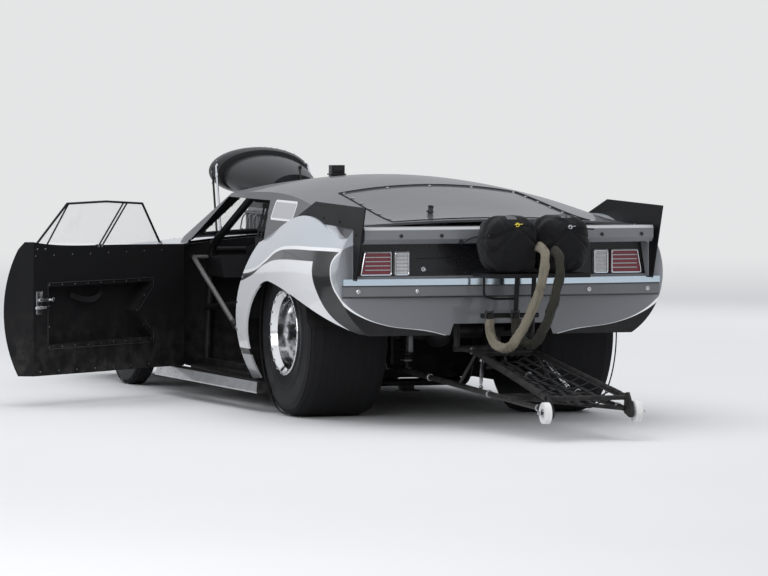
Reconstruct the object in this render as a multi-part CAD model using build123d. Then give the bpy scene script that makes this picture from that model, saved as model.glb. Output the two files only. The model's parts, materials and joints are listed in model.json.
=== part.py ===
from build123d import *
import math
import os
from collections import namedtuple

# A full-size doorslammer drag car: a carbon fastback body over a tube chassis.
# Modelled in mm on the car's own axes: X forward from the rear axle, Y to the left,
# Z up from the floor. At the end every piece is moved so that the origin is the jack pad.

# Driving dimensions
wheelbase = 2921.0
ride_height = 88.0          # underside of the jack pad above the floor
jack_pad_x = 450.0          # the pad sits this far ahead of the rear axle
body_wall = 12.0            # laminate of the outer panels
gap = 6.0                   # shut line between two panels
seat_gap = 0.3              # clearance between pieces that seat on each other
hood_seam = 0.8             # the lift-off hood is pinned down with this seam round it
tin_wall = 8.0              # floor, bulkheads and wheel tubs
side_far = 1200.0           # cutters reach this far out on each side

rear_tyre_radius = 430.0
rear_tyre_width = 432.0
rear_tyre_y = 614.0         # middle of the tyre
rear_rim_radius = 221.0
axle_radius = 20.0
front_tyre_radius = 330.0
front_tyre_width = 114.0
front_tyre_y = 748.0
front_rim_radius = 202.0
kingpin_y = 640.0
kingpin_radius = 24.0       # strut round the steering axis
bead_inset = 2.0            # the tyre's bead sits this far below the rim's edge

tube_radius = 20.6          # main chassis and cage tube
brace_radius = 15.9
tube_bend = 90.0            # bend radius of cage tube
rail_y = 330.0
rail_z = 130.0
rear_rail_z = 520.0
tail_x = -950.0             # plane of the tail panel


def ahead(distance):
    """Place along the car, measured forward from the front axle."""
    return wheelbase + distance


door_front_x = ahead(-976)
door_rear_x = 602.0
door_bottom_z = 162.0
door_inner_y = 735.0        # inner face of the shut door
door_bevel = 42.0           # the rear edge is cut back this far inside, so that it swings clear
door_open_angle = 54.5      # the left door stands open by this
door_hinge_y = 880.0        # hinge line just outside the widest part of the skin
hinge_pin_radius = 6.0
hinge_barrel_radius = 12.0
hinge_barrel_length = 44.0
hinge_heights = (420.0, 650.0)
ear_thickness = 10.0
ear_gap = 5.0

cabin_front_x = ahead(-881)
cabin_rear_x = 560.0
floor_half = 725.0
cage_side = 620.0           # door bars and hoop legs
cage_top_z = 1085.0
cage_foot_z = 175.0
hoop_x = 660.0
pillar_x = ahead(-936)      # front legs of the cage
header_bar_x = ahead(-1481) # bar over the windshield

rocker_bottom_z = 100.0
rocker_top_z = 156.0
seat_y = 320.0              # middle of the driver's seat

# Sections of the body, nose to tail. Columns: place along the car, then half width and
# height of the sill, the waist and the belt crease, and the height at the centreline.
Station = namedtuple("Station", "x sill_y sill_z waist_y waist_z belt_y belt_z crown_z")
body_stations = [
    Station(ahead(964), 640, 330, 700, 470, 640, 610, 630),
    Station(ahead(859), 735, 250, 790, 470, 700, 665, 700),
    Station(ahead(479), 785, 200, 855, 500, 745, 735, 778),
    Station(ahead(-221), 805, 165, 872, 560, 768, 795, 842),
    Station(ahead(-971), 795, 162, 866, 585, 764, 815, 868),
    Station(1250, 795, 162, 874, 600, 766, 830, 872),
    Station(600, 805, 162, 890, 610, 775, 868, 905),
    Station(0, 830, 250, 915, 640, 796, 1008, 1022),
    Station(-500, 820, 400, 905, 680, 800, 1004, 1016),
    Station(tail_x, 700, 455, 862, 690, 785, 985, 1000),
]

# Sections of the roof, header to tail. Columns: place along the car, half width at the
# foot, half width and height of the roof rail, and the height at the centreline.
RoofStation = namedtuple("RoofStation", "x foot_y rail_y rail_z crown_z")
roof_foot_z = 780.0
roof_stations = [
    RoofStation(ahead(-1441), 764, 640, 1102, 1180),
    RoofStation(950, 768, 652, 1122, 1212),
    RoofStation(350, 774, 660, 1112, 1196),
    RoofStation(-300, 786, 712, 1042, 1108),
    RoofStation(tail_x + 90, 792, 745, 1000, 1030),
]
windshield_foot = RoofStation(ahead(-821), 758, 716, 848, 876)
open_below = 120.0          # inner forms run this far down past the sill


def across(x, sill, waist, belt, crown, drop):
    """Closed outline across the car; each point is a half width and a height.

    With a drop, the outline runs straight down past the sill by that much.
    """
    def left(point):
        return Vector(x, point[0], point[1])

    def right(point):
        return Vector(x, -point[0], point[1])

    foot = (sill[0], sill[1] - drop)
    edges = [
        Edge.make_line(right(foot), left(foot)),
        Edge.make_three_point_arc(left(sill), left(waist), left(belt)),
        Edge.make_three_point_arc(left(belt), Vector(x, 0, crown), right(belt)),
        Edge.make_three_point_arc(right(belt), right(waist), right(sill)),
    ]
    if drop:
        edges.insert(1, Edge.make_line(left(foot), left(sill)))
        edges.append(Edge.make_line(right(sill), right(foot)))
    return Wire(edges)


def body_form(inset=0.0, drop=0.0):
    """The lower body as a solid; inset makes its inner form, and drop opens it below."""
    wires = []
    for s in body_stations:
        x = s.x
        if s is body_stations[0]:
            x = s.x - inset
        if s is body_stations[-1]:
            x = s.x + inset
        wires.append(across(x, (s.sill_y - inset, s.sill_z), (s.waist_y - inset, s.waist_z),
                            (s.belt_y - inset, s.belt_z - inset), s.crown_z - inset, drop))
    return Solid.make_loft(wires)


def roof_outline(s, inset=0.0, drop=0.0):
    """Closed outline across the roof at one station."""
    def point(side, y, z):
        return Vector(s.x, side * (y - inset), z)

    foot = roof_foot_z
    rail = s.rail_z - inset
    edges = [
        Edge.make_line(point(-1, s.foot_y, foot - drop), point(1, s.foot_y, foot - drop)),
        Edge.make_line(point(1, s.foot_y, foot), point(1, s.rail_y, rail)),
        Edge.make_three_point_arc(point(1, s.rail_y, rail), Vector(s.x, 0, s.crown_z - inset),
                                  point(-1, s.rail_y, rail)),
        Edge.make_line(point(-1, s.rail_y, rail), point(-1, s.foot_y, foot)),
    ]
    if drop:
        edges.insert(1, Edge.make_line(point(1, s.foot_y, foot - drop), point(1, s.foot_y, foot)))
        edges.append(Edge.make_line(point(-1, s.foot_y, foot), point(-1, s.foot_y, foot - drop)))
    return Wire(edges)


def roof_form(inset=0.0, drop=0.0):
    """Roof and windshield together as a solid."""
    rear = Solid.make_loft([roof_outline(s, inset, drop) for s in roof_stations])
    front = Solid.make_loft([roof_outline(windshield_foot, inset, drop),
                             roof_outline(roof_stations[0], inset, drop)], ruled=True)
    return rear + front


def block(x0, x1, y0, y1, z0, z1):
    """A box between two corners."""
    return Pos((x0 + x1) / 2, (y0 + y1) / 2, (z0 + z1) / 2) * Box(abs(x1 - x0), abs(y1 - y0), abs(z1 - z0))


def prism_along_y(points, y0, y1):
    """A closed outline in side view, points as (x, z), carried across from y0 to y1."""
    face = make_face(Polyline(*[(x, y0, z) for x, z in points], close=True))
    return extrude(face, amount=abs(y1 - y0), dir=(0, math.copysign(1, y1 - y0), 0))


def prism_along_x(points, x0, x1):
    """A closed outline from behind, points as (y, z), carried along from x0 to x1."""
    face = make_face(Polyline(*[(x0, y, z) for y, z in points], close=True))
    return extrude(face, amount=abs(x1 - x0), dir=(math.copysign(1, x1 - x0), 0, 0))


def prism_along_z(points, z0, z1):
    """A closed outline in plan, points as (x, y), carried up from z0 to z1."""
    face = make_face(Polyline(*[(x, y, z0) for x, y in points], close=True))
    return extrude(face, amount=z1 - z0, dir=(0, 0, 1))


def rod(start, end, radius):
    """A round bar between two points."""
    a, b = Vector(*start), Vector(*end)
    return Solid.make_cylinder(radius, (b - a).length, Plane(origin=a, z_dir=b - a))


def bent_tube(points, radius, bend):
    """A tube along runs joined by bends of one radius, or of one radius each."""
    path = FilletPolyline(*points, radius=bend)
    return sweep(Plane(origin=points[0], z_dir=path % 0) * Circle(radius), path=path)


def both_sides(shape):
    """A piece and its mirror image across the car."""
    return [shape, mirror(shape, Plane.XZ)]


def fused(shapes):
    """One shape from several that meet."""
    shapes = list(shapes)
    first = shapes[0]
    return first + shapes[1:] if len(shapes) > 1 else first


def across_y(radius, y0, y1, x, z):
    """A cylinder on an axle line."""
    return rod((x, y0, z), (x, y1, z), radius)


def turned(profile, x, z):
    """Turn an outline, points as (y, radius), about the axle line at x, z."""
    face = make_face(Polyline(*[(x, y, z + r) for y, r in profile], close=True))
    return revolve(face, axis=Axis((x, 0, z), (0, 1, 0)), revolution_arc=360)


def turned_upright(profile, x, y):
    """Turn an outline, points as (radius, height), about an upright line."""
    face = make_face(Polyline(*[(x + r, y, z) for r, z in profile], close=True))
    return revolve(face, axis=Axis((x, y, 0), (0, 0, 1)), revolution_arc=360)


def widened(points, amount):
    """Move each corner of a plan outline out from its middle."""
    middle = sum(x for x, _ in points) / len(points)
    return [(x + math.copysign(amount, x - middle), y + math.copysign(amount, y)) for x, y in points]


pieces = {}


def keep(name, shape):
    """File a finished piece under its node's name."""
    pieces[name] = shape


# Body shells
outer_body = body_form()
inner_body = body_form(body_wall, open_below)
body_clear = body_form(-seat_gap)
outer_roof = roof_form()
inner_roof = roof_form(body_wall, open_below)
body_skin = outer_body - inner_body
roof_skin = outer_roof - inner_roof

below, above = 0.0, 1400.0  # cutters run from the floor to over the roof
tail_far = tail_x - 200
nose_far = body_stations[0].x + 215
cowl_x = door_front_x + gap

# Rear wheel opening, seen from the side: round over the tyre, drawn out to a tip behind
arch_front_x, arch_foot_z, arch_tip_z = 447, 340, 437
arch_cut_z = 40
rear_arch_face = Face(Wire([
    Edge.make_line((arch_front_x + 23, 0, arch_cut_z), (arch_front_x, 0, arch_foot_z)),
    Edge.make_three_point_arc((arch_front_x, 0, arch_foot_z), (318, 0, 585), (0, 0, 690)),
    Edge.make_three_point_arc((0, 0, 690), (-330, 0, 642), (tail_x + 20, 0, arch_tip_z)),
    Edge.make_line((tail_x + 20, 0, arch_tip_z), (tail_far, 0, arch_tip_z)),
    Edge.make_line((tail_far, 0, arch_tip_z), (tail_far, 0, arch_cut_z)),
    Edge.make_line((tail_far, 0, arch_cut_z), (arch_front_x + 23, 0, arch_cut_z)),
]))
rear_arch = Pos(0, -side_far, 0) * extrude(rear_arch_face, amount=2 * side_far, dir=(0, 1, 0))

front_arch_gap = 58.0       # room round the steered tyre
front_arch = across_y(front_tyre_radius + front_arch_gap, -side_far, side_far, wheelbase, front_tyre_radius)

# Tail: the valance is raised over the frame in the middle, and the lamps sit in a recess
valance_cut = prism_along_x([(-330, 300), (-255, 512), (255, 512), (330, 300)], tail_x - 40, tail_x + 60)
recess_bottom_z, recess_top_z = 752.0, 912.0
recess_bottom_y, recess_top_y = 772.0, 748.0
recess_lap = 14.0           # the tail panel reaches this far past the recess, behind the skin


def recess_outline(grow):
    """Outline of the tail recess from behind, wider at its foot."""
    return [(-recess_bottom_y - grow, recess_bottom_z - grow), (recess_bottom_y + grow, recess_bottom_z - grow),
            (recess_top_y + grow, recess_top_z + grow), (-recess_top_y - grow, recess_top_z + grow)]


tail_recess = prism_along_x(recess_outline(0), tail_x - 20, tail_x + body_wall + 1)

# The tail body: both quarters with the deck between them and the tail below
rear_body = body_skin & block(door_rear_x - gap, tail_far, -side_far, side_far, below, above)
rear_body -= rear_arch
rear_body -= valance_cut
rear_body -= tail_recess
rear_body -= block(cabin_rear_x - 260, door_rear_x, -700, 700, 700, above)
keep("quarter_panels_and_deck", rear_body)

# Front clip: wings and nose in one piece, with the hood, grille and header openings cut
hood_outline = [(ahead(-771), -520), (ahead(719), -470), (ahead(719), 470), (ahead(-771), 520)]
hood_cut_z = 600.0
scoop_opening = block(ahead(-691), ahead(-41), -190, 190, 700, above)
grille_bottom_z, grille_top_z, grille_half = 420.0, 590.0, 560.0
header_hole = block(ahead(-791), ahead(-481), -side_far, side_far, 262, 376)
front_clip = body_skin & block(cowl_x, nose_far, -side_far, side_far, below, above)
front_clip -= front_arch
front_clip -= outer_roof
front_clip -= prism_along_z(widened(hood_outline, hood_seam), hood_cut_z, above)
front_clip -= block(body_stations[0].x - 185, nose_far, -grille_half, grille_half, grille_bottom_z, grille_top_z)
front_clip -= header_hole
hood = (body_skin & prism_along_z(hood_outline, hood_cut_z, above)) - scoop_opening
keep("hood", hood)

# Roof with its pillars and the sail panels down to the tail
glass_cut_z = 700.0
side_glass_points = [(door_front_x - 20, 838), (ahead(-1409), 1082), (742, 1084), (640, 886), (door_rear_x, 882),
                     (door_rear_x, glass_cut_z), (cowl_x, glass_cut_z), (cowl_x, 836)]
windshield_points = [(ahead(-859), -628), (ahead(-1406), -560), (ahead(-1406), 560), (ahead(-859), 628)]
rear_glass_points = [(150, -480), (150, 480), (tail_x + 150, 520), (tail_x + 150, -520)]
windshield_hole = prism_along_z(windshield_points, glass_cut_z, above)
rear_glass_hole = prism_along_z(rear_glass_points, glass_cut_z, above)
roof_shell = roof_skin - outer_body
roof_shell = roof_shell - prism_along_y(side_glass_points, -side_far, side_far) - windshield_hole - rear_glass_hole
keep("roof_shell", roof_shell)

pane_inset, pane_wall = 4.0, 4.0
pane_skin = roof_form(pane_inset) - roof_form(pane_inset + pane_wall)
keep("windshield", (pane_skin & windshield_hole) - outer_body)
vent_x, vent_y, vent_top_z, vent_radius, vent_bore = -600.0, 257.0, 1088.0, 13.0, 9.5
rear_window = (pane_skin & rear_glass_hole) - outer_body
vent = rod((vent_x, vent_y, 1040), (vent_x - 12, vent_y, vent_top_z), vent_radius) - roof_form(pane_inset + pane_wall)
rear_window = rear_window + vent - rod((vent_x, vent_y, 1040), (vent_x - 12, vent_y, vent_top_z + 1), vent_bore)
keep("rear_window_panel", rear_window)

# Doors: as thick as the whole door, with the true outer form and the pocket inside
pocket_depth = 70.0
pocket_outline = [(door_rear_x + 173, 320), (door_rear_x + 173, 625), (door_front_x - 290, 625),
                  (door_front_x - 430, 476), (door_front_x - 290, 330)]


def shut_door(side):
    """The left door when side is 1, the right when it is -1, as it is when shut."""
    y_in, y_out = side * door_inner_y, side * side_far
    slab = outer_body & block(door_rear_x, door_front_x, y_in, y_out, door_bottom_z, 900)
    pocket = prism_along_y(pocket_outline, side * (door_inner_y - 5), side * (door_inner_y + pocket_depth))
    bevel = prism_along_z([(door_rear_x, y_in), (door_rear_x + door_bevel, y_in), (door_rear_x, y_in + side * 70)],
                          below, 1000)
    return slab - pocket - bevel


frame_radius, upright_radius = 6.0, 4.5
frame_foot_z, frame_top_z = 805.0, 1066.0
frame_foot_y, frame_top_y = 752.0, 672.0
# Columns: place along the car, height; from the front foot over the top to the rear foot
frame_outline = [(door_front_x - 170, 800), (door_front_x - 445, 1048), (door_front_x - 765, frame_top_z),
                 (door_rear_x + 248, 1062), (door_rear_x + 58, 840)]
# Columns: foot place, top place along the car, top height
frame_uprights = [(door_rear_x + 140, door_rear_x + 260, 1063), (door_front_x - 720, door_front_x - 580, 1054),
                  (door_front_x - 750, door_front_x - 610, 1057)]


def window_frame(side):
    """Thin tube frame round the door's window, with its uprights, as one piece."""
    def lean(z):
        rise = (z - frame_foot_z) / (frame_top_z - frame_foot_z)
        return side * (frame_foot_y + (frame_top_y - frame_foot_y) * rise)

    frame = []
    for (xa, za), (xb, zb) in zip(frame_outline, frame_outline[1:]):
        frame.append(rod((xa, lean(za), za), (xb, lean(zb), zb), frame_radius))
        frame.append(Pos(xb, lean(zb), zb) * Sphere(frame_radius))
    for foot_x, top_x, top_z in frame_uprights:
        frame.append(rod((foot_x, lean(frame_foot_z), frame_foot_z), (top_x, lean(top_z), top_z), upright_radius))
    return fused(frame) - outer_body


# Hinges: two barrels on each door, each round a pin held between two ears on the front post
hinge_x = door_front_x + gap / 2
strap_reach, strap_half = 70.0, 18.0


def door_with_hinges(side, slab):
    """Door slab with its barrels let into the front edge."""
    y = side * door_hinge_y
    door = slab
    for z in hinge_heights:
        door -= Pos(hinge_x, y, z) * Cylinder(hinge_barrel_radius + 14, hinge_barrel_length + 60)
        door += Pos(hinge_x, y, z) * Cylinder(hinge_barrel_radius, hinge_barrel_length)
        strap = [(hinge_x - 9, y), (hinge_x - strap_reach, y - side * 30), (hinge_x - strap_reach, y - side * 56),
                 (hinge_x, y - side * 56), (hinge_x, y)]
        door += prism_along_z(strap, z - strap_half, z + strap_half)
        door -= Pos(hinge_x, y, z) * Cylinder(hinge_pin_radius + seat_gap, hinge_barrel_length + 2)
    return door


def hinge_ears(side, z):
    """Pin between two ears, reaching back from the wing's edge."""
    y = side * door_hinge_y
    near = hinge_barrel_length / 2 + ear_gap
    far = near + ear_thickness
    pin = rod((hinge_x, y, z - far), (hinge_x, y, z + far), hinge_pin_radius)
    ear = [(hinge_x - 9, y + side * 8), (hinge_x - 9, y - side * 16), (hinge_x + 6, y - side * 20),
           (hinge_x + 16, y - side * 50), (hinge_x + 56, y - side * 50), (hinge_x + 56, y - side * 10),
           (hinge_x + 12, y + side * 8)]
    return pin + prism_along_z(ear, z - far, z - near) + prism_along_z(ear, z + near, z + far)


for side in (1, -1):
    for z in hinge_heights:
        y = side * door_hinge_y
        front_clip -= block(hinge_x - 5, hinge_x + 22, y - side * 60, y + side * 30, z - 44, z + 44)
        front_clip += hinge_ears(side, z)
keep("front_clip", front_clip)

left_hinge_axis = Axis((hinge_x, door_hinge_y, 0), (0, 0, 1))
keep("left_door", door_with_hinges(1, shut_door(1)).rotate(left_hinge_axis, -door_open_angle))
keep("left_window_frame", window_frame(1).rotate(left_hinge_axis, -door_open_angle))
keep("right_door", door_with_hinges(-1, shut_door(-1)))
keep("right_window_frame", window_frame(-1))

# Rocker strips under the doors, cut back to follow the rear tyre
rocker_inner_y, rocker_top_y, rocker_foot_y = 780.0, 862.0, 880.0
for side, name in ((1, "left_rocker"), (-1, "right_rocker")):
    strip = prism_along_x([(side * rocker_inner_y, rocker_top_z), (side * rocker_top_y, rocker_top_z),
                           (side * rocker_foot_y, rocker_bottom_z + 8), (side * rocker_foot_y, rocker_bottom_z),
                           (side * rocker_inner_y, rocker_bottom_z)], 300, cowl_x + 149)
    strip -= across_y(rear_tyre_radius + 20, -side_far, side_far, 0, rear_tyre_radius)
    keep(name, strip)

# Tail: black panel behind the recess, lamps on it, bumper, spoiler and its end plates
panel_face_x = tail_x + body_wall + seat_gap
keep("tail_panel", prism_along_x(recess_outline(recess_lap), panel_face_x, panel_face_x + tin_wall))

lamp_back_x = panel_face_x - seat_gap
lamp_depth, lamp_rim, lamp_recess = 18.0, 7.0, 6.0
lamp_bottom_z, lamp_top_z = 756.0, 876.0
lamp_bar = 2.5              # half height of a bar across the lens


def lamp(inner_y, bottom_y, top_y, bars):
    """Lamp body with a sunk lens and bars across it; its outer edge may lean."""
    face_x = lamp_back_x - lamp_depth
    body = prism_along_x([(inner_y, lamp_bottom_z), (bottom_y, lamp_bottom_z), (top_y, lamp_top_z),
                          (inner_y, lamp_top_z)], lamp_back_x, face_x)
    body = fillet(body.edges().filter_by(Axis.X), 9)
    lens = prism_along_x([(inner_y + lamp_rim, lamp_bottom_z + lamp_rim), (bottom_y - lamp_rim, lamp_bottom_z + lamp_rim),
                          (top_y - lamp_rim, lamp_top_z - lamp_rim), (inner_y + lamp_rim, lamp_top_z - lamp_rim)],
                         face_x + lamp_recess, face_x - 2)
    body -= lens
    pitch = (lamp_top_z - lamp_bottom_z - 2 * lamp_rim) / (bars + 1)
    for i in range(bars):
        z = lamp_bottom_z + lamp_rim + pitch * (i + 1)
        body += block(face_x + lamp_recess, face_x + 1, inner_y + 5, top_y - 5, z - lamp_bar, z + lamp_bar)
    return body


red_lamp = lamp(585, 752, 730, 4)
white_lamp = lamp(492, 570, 570, 5)
left_lamps = red_lamp + white_lamp
keep("left_tail_lamps", left_lamps)
keep("right_tail_lamps", mirror(left_lamps, Plane.XZ))

# Bumper: a bright blade over a plain band, both bowed in plan
bumper_half, bumper_bottom_z, blade_bottom_z, bumper_top_z = 844.0, 645.0, 708.0, 740.0
bumper_end_depth, bumper_bow, blade_step = 12.0, 38.0, 9.0


def bumper_slab(out, z0, z1):
    """A slab on the tail whose rear face is bowed, standing out by a further amount."""
    end_x, middle_x = tail_x - bumper_end_depth - out, tail_x - bumper_end_depth - bumper_bow - out
    back_x = tail_x - seat_gap
    face = Face(Wire([
        Edge.make_three_point_arc((end_x, bumper_half, z0), (middle_x, 0, z0), (end_x, -bumper_half, z0)),
        Edge.make_line((end_x, -bumper_half, z0), (back_x, -bumper_half, z0)),
        Edge.make_line((back_x, -bumper_half, z0), (back_x, bumper_half, z0)),
        Edge.make_line((back_x, bumper_half, z0), (end_x, bumper_half, z0)),
    ]))
    return extrude(face, amount=z1 - z0, dir=(0, 0, 1))


bumper_band = bumper_slab(0, bumper_bottom_z, blade_bottom_z)
foot_edge = bumper_band.edges().filter_by(GeomType.CIRCLE).sort_by(Axis.Z)[0]
bumper_band = chamfer(foot_edge, 10)
bumper = bumper_band + bumper_slab(blade_step, blade_bottom_z, bumper_top_z)
keep("rear_bumper", bumper)

spoiler_half, spoiler_foot_z, spoiler_top_z, spoiler_reach = 768.0, 918.0, 1000.0, 122.0
spoiler_back_x = tail_x - seat_gap
spoiler = prism_along_y([(spoiler_back_x, spoiler_foot_z), (tail_x - 100, spoiler_foot_z),
                         (tail_x - spoiler_reach, spoiler_foot_z + 22), (tail_x - spoiler_reach, spoiler_top_z - 12),
                         (tail_x - spoiler_reach + 12, spoiler_top_z), (spoiler_back_x, spoiler_top_z)],
                        -spoiler_half, spoiler_half)
keep("spoiler", spoiler)

plate_y, plate_wall = 786.0, 6.0
end_plate_points = [(-55, 1018), (-380, 1110), (tail_x - 196, 1100), (tail_x - 60, 733), (tail_x - 15, 733),
                    (tail_x - 15, 990), (-500, 1000)]
for side, name in ((1, "left_end_plate"), (-1, "right_end_plate")):
    plate = prism_along_y(end_plate_points, side * plate_y, side * (plate_y + plate_wall))
    keep(name, plate - outer_body - outer_roof - bumper)

# Chassis: two main rails, kicked up over the rear axle, with cross tubes and front hoop
nose_y, nose_z, rail_bend = 250.0, 190.0, 110.0
link_front_x, link_bracket_y, bracket_wall = 620.0, 262.0, 14.0
tower_y, tower_z, tower_radius, tower_height = 520.0, 690.0, 32.0, 28.0
shock_x, shock_y = -150.0, 225.0
tail_tube_x = tail_x + 110
left_rail = bent_tube([(ahead(679), nose_y, nose_z), (ahead(29), 270, rail_z), (ahead(-621), rail_y, rail_z),
                       (480, rail_y, rail_z), (250, rail_y, rear_rail_z), (tail_x + 100, rail_y, rear_rail_z)],
                      tube_radius, rail_bend)
chassis_parts = both_sides(left_rail)
# Cross tubes. Columns: place along the car, half length, height
for x, half, z in ((ahead(659), nose_y, nose_z), (ahead(379), 262, 164), (ahead(-421), 312, rail_z),
                   (ahead(-1021), rail_y, rail_z), (1200, rail_y, rail_z), (jack_pad_x + 40, rail_y, rail_z),
                   (link_front_x, rail_y, rail_z), (shock_x, rail_y, rear_rail_z), (-350, rail_y, rear_rail_z),
                   (tail_tube_x, rail_y, rear_rail_z)):
    chassis_parts.append(across_y(brace_radius, -half, half, x, z))
# Front frame: uprights to the strut towers and a top rail to the firewall
bar_drop_y, bar_drop_z = 200.0, 380.0
splitter_top_z, splitter_wall = 108.0, 12.0
for side in (1, -1):
    tower = (wheelbase, side * tower_y, tower_z)
    for start in ((ahead(60), side * 268, rail_z), (ahead(-441), side * 320, rail_z),
                  (ahead(-871), side * 560, tower_z), (ahead(379), side * 260, 164)):
        chassis_parts.append(rod(start, tower, brace_radius))
    chassis_parts.append(Pos(*tower) * Sphere(brace_radius + 6))
    chassis_parts.append(rod(tower, (wheelbase, side * kingpin_y, tower_z), 12))
    chassis_parts.append(Pos(wheelbase, side * kingpin_y, tower_z) * Cylinder(tower_radius, tower_height))
    chassis_parts.append(rod((tail_tube_x, side * bar_drop_y, rear_rail_z), (tail_tube_x, side * bar_drop_y, bar_drop_z),
                             brace_radius))
    chassis_parts.append(block(link_front_x - 20, link_front_x + 20, side * link_bracket_y,
                               side * (link_bracket_y + bracket_wall), rail_z - 20, 362))
    chassis_parts.append(rod((ahead(654), side * 240, nose_z), (ahead(654), side * 240, splitter_top_z + seat_gap), 12))
chassis_parts.append(across_y(brace_radius, -bar_drop_y - 15, bar_drop_y + 15, tail_tube_x, bar_drop_z))
# Motor plate and mid plate, ahead of and behind the engine
engine_rear_x, engine_front_x, engine_foot_z = ahead(-791), ahead(-221), 200.0
plate_thickness, plate_top_z = 8.0, 440.0
for x0, half in ((engine_front_x + seat_gap, 292), (engine_rear_x - seat_gap - plate_thickness, 318)):
    chassis_parts.append(block(x0, x0 + plate_thickness, -half, half, rail_z - 6, plate_top_z))
pad_half, pad_wall = 50.0, 8.0
jack_pad = block(jack_pad_x - pad_half, jack_pad_x + pad_half, -pad_half, pad_half, ride_height, ride_height + pad_wall)
pad_post = block(jack_pad_x + 20, jack_pad_x + 48, -40, 40, ride_height + pad_wall, rail_z - 8)
chassis = fused(chassis_parts + [jack_pad, pad_post])
keep("chassis_frame", chassis)

# Roll cage
cage_shoulder_z, cage_roof_y = 820.0, 560.0
hoop = bent_tube([(hoop_x, cage_side, cage_foot_z), (hoop_x, cage_side, cage_shoulder_z),
                  (hoop_x, cage_roof_y, cage_top_z), (hoop_x, -cage_roof_y, cage_top_z),
                  (hoop_x, -cage_side, cage_shoulder_z), (hoop_x, -cage_side, cage_foot_z)], tube_radius, tube_bend)
cage_parts = [hoop]
for side in (1, -1):
    cage_parts.append(bent_tube([(hoop_x, side * 540, cage_top_z), (header_bar_x, side * 535, cage_top_z),
                                 (pillar_x, side * 590, 800), (pillar_x, side * cage_side, cage_foot_z)],
                                tube_radius, tube_bend))
    cage_parts.append(rod((hoop_x, side * cage_side, cage_foot_z), (pillar_x, side * cage_side, cage_foot_z), tube_radius))
    cage_parts.append(rod((hoop_x, side * cage_side, 560), (pillar_x, side * cage_side, 470), brace_radius))
    cage_parts.append(rod((hoop_x, side * 335, cage_top_z), (-200, side * rail_y, rear_rail_z), brace_radius))
    for x in (hoop_x, pillar_x):
        cage_parts.append(rod((x, side * cage_side, cage_foot_z), (x, side * rail_y, rail_z + 30), brace_radius))
cage_parts.append(rod((pillar_x, 592, 780), (pillar_x, -592, 780), brace_radius))
cage_parts.append(rod((hoop_x, 610, 520), (hoop_x, -610, 520), brace_radius))
cage_parts.append(rod((header_bar_x, 535, cage_top_z), (header_bar_x, -535, cage_top_z), brace_radius))
cage = fused(cage_parts) - chassis
keep("roll_cage", cage)

# Tin work: floor with its tunnel, firewall, rear bulkhead and wheel tubs
floor_z = rail_z + tube_radius + 2
panel_foot_z = rocker_top_z + seat_gap
tunnel_half, tunnel_shoulder, tunnel_top_z = 88.0, 40.0, 470.0


def tunnel_outline(inset):
    """Outline across the tunnel with its top corners cut."""
    half, top = tunnel_half - inset, tunnel_top_z - inset
    return [(-half, floor_z), (-half, top - tunnel_shoulder), (-half + tunnel_shoulder, top),
            (half - tunnel_shoulder, top), (half, top - tunnel_shoulder), (half, floor_z)]


tunnel_bore = prism_along_x(tunnel_outline(tin_wall), cabin_rear_x, cabin_front_x)
floor = block(cabin_rear_x, cabin_front_x, -floor_half, floor_half, floor_z, floor_z + tin_wall)
floor += prism_along_x(tunnel_outline(0), cabin_rear_x, cabin_front_x)
floor = floor - tunnel_bore - cage - chassis
keep("floor_panel", floor)
shaft_radius = 38.0         # driveshaft from the gearbox to the axle
shaft_front = (cabin_front_x - 40, 0, 330.0)
shaft_rear = (190, 0, rear_tyre_radius - 10)
shaft_hole = rod((cabin_rear_x - 100, 0, 408.0), (cabin_rear_x + 100, 0, 395.0), shaft_radius + 22)
firewall = (inner_body & block(cabin_front_x, cabin_front_x + tin_wall, -side_far, side_far, panel_foot_z, 850))
firewall = firewall - cage - chassis
keep("firewall", firewall)
bulkhead = (inner_body & block(cabin_rear_x - tin_wall, cabin_rear_x, -side_far, side_far, panel_foot_z, 860))
bulkhead = bulkhead - cage - chassis - shaft_hole

tub_radius = rear_tyre_radius + 38
tub_inner_y = rear_tyre_y - rear_tyre_width / 2 - 24
axle_hole_radius = 75.0
tubs = []
for side in (1, -1):
    y0, y1 = side * tub_inner_y, side * 868
    drum = across_y(tub_radius + tin_wall, y0, y1, 0, rear_tyre_radius)
    drum -= across_y(tub_radius, y0 + side * tin_wall, y1 + side * 10, 0, rear_tyre_radius)
    drum -= block(-700, 700, -side_far, side_far, below, rear_tyre_radius + 50)
    drum -= across_y(axle_hole_radius, -side_far, side_far, 0, rear_tyre_radius)
    tubs.append((drum & inner_body) - cage - chassis)
keep("wheel_tubs", Compound(tubs))

# Rear axle: hollow housing with its centre case, driveshaft, link brackets and shock feet
housing_end_y, housing_radius = 352.0, 45.0
axle_bracket_foot_z = rear_tyre_radius - 195
shock_foot_wall = 14.7
housing = across_y(housing_radius, -housing_end_y, housing_end_y, 0, rear_tyre_radius)
housing += Pos(0, 0, rear_tyre_radius) * Sphere(88)
housing += rod((0, 0, rear_tyre_radius), shaft_rear, 60)
housing += rod(shaft_rear, shaft_front, shaft_radius)
for side in (1, -1):
    housing += block(-60, 60, side * link_bracket_y, side * (link_bracket_y + bracket_wall), axle_bracket_foot_z,
                     rear_tyre_radius + 60)
    housing += block(shock_x - 25, -40, side * (shock_y - 20), side * link_bracket_y, axle_bracket_foot_z,
                     axle_bracket_foot_z + shock_foot_wall)
housing -= across_y(axle_radius + seat_gap, -400, 400, 0, rear_tyre_radius)
housing -= chassis
keep("rear_axle_housing", housing)

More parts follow.
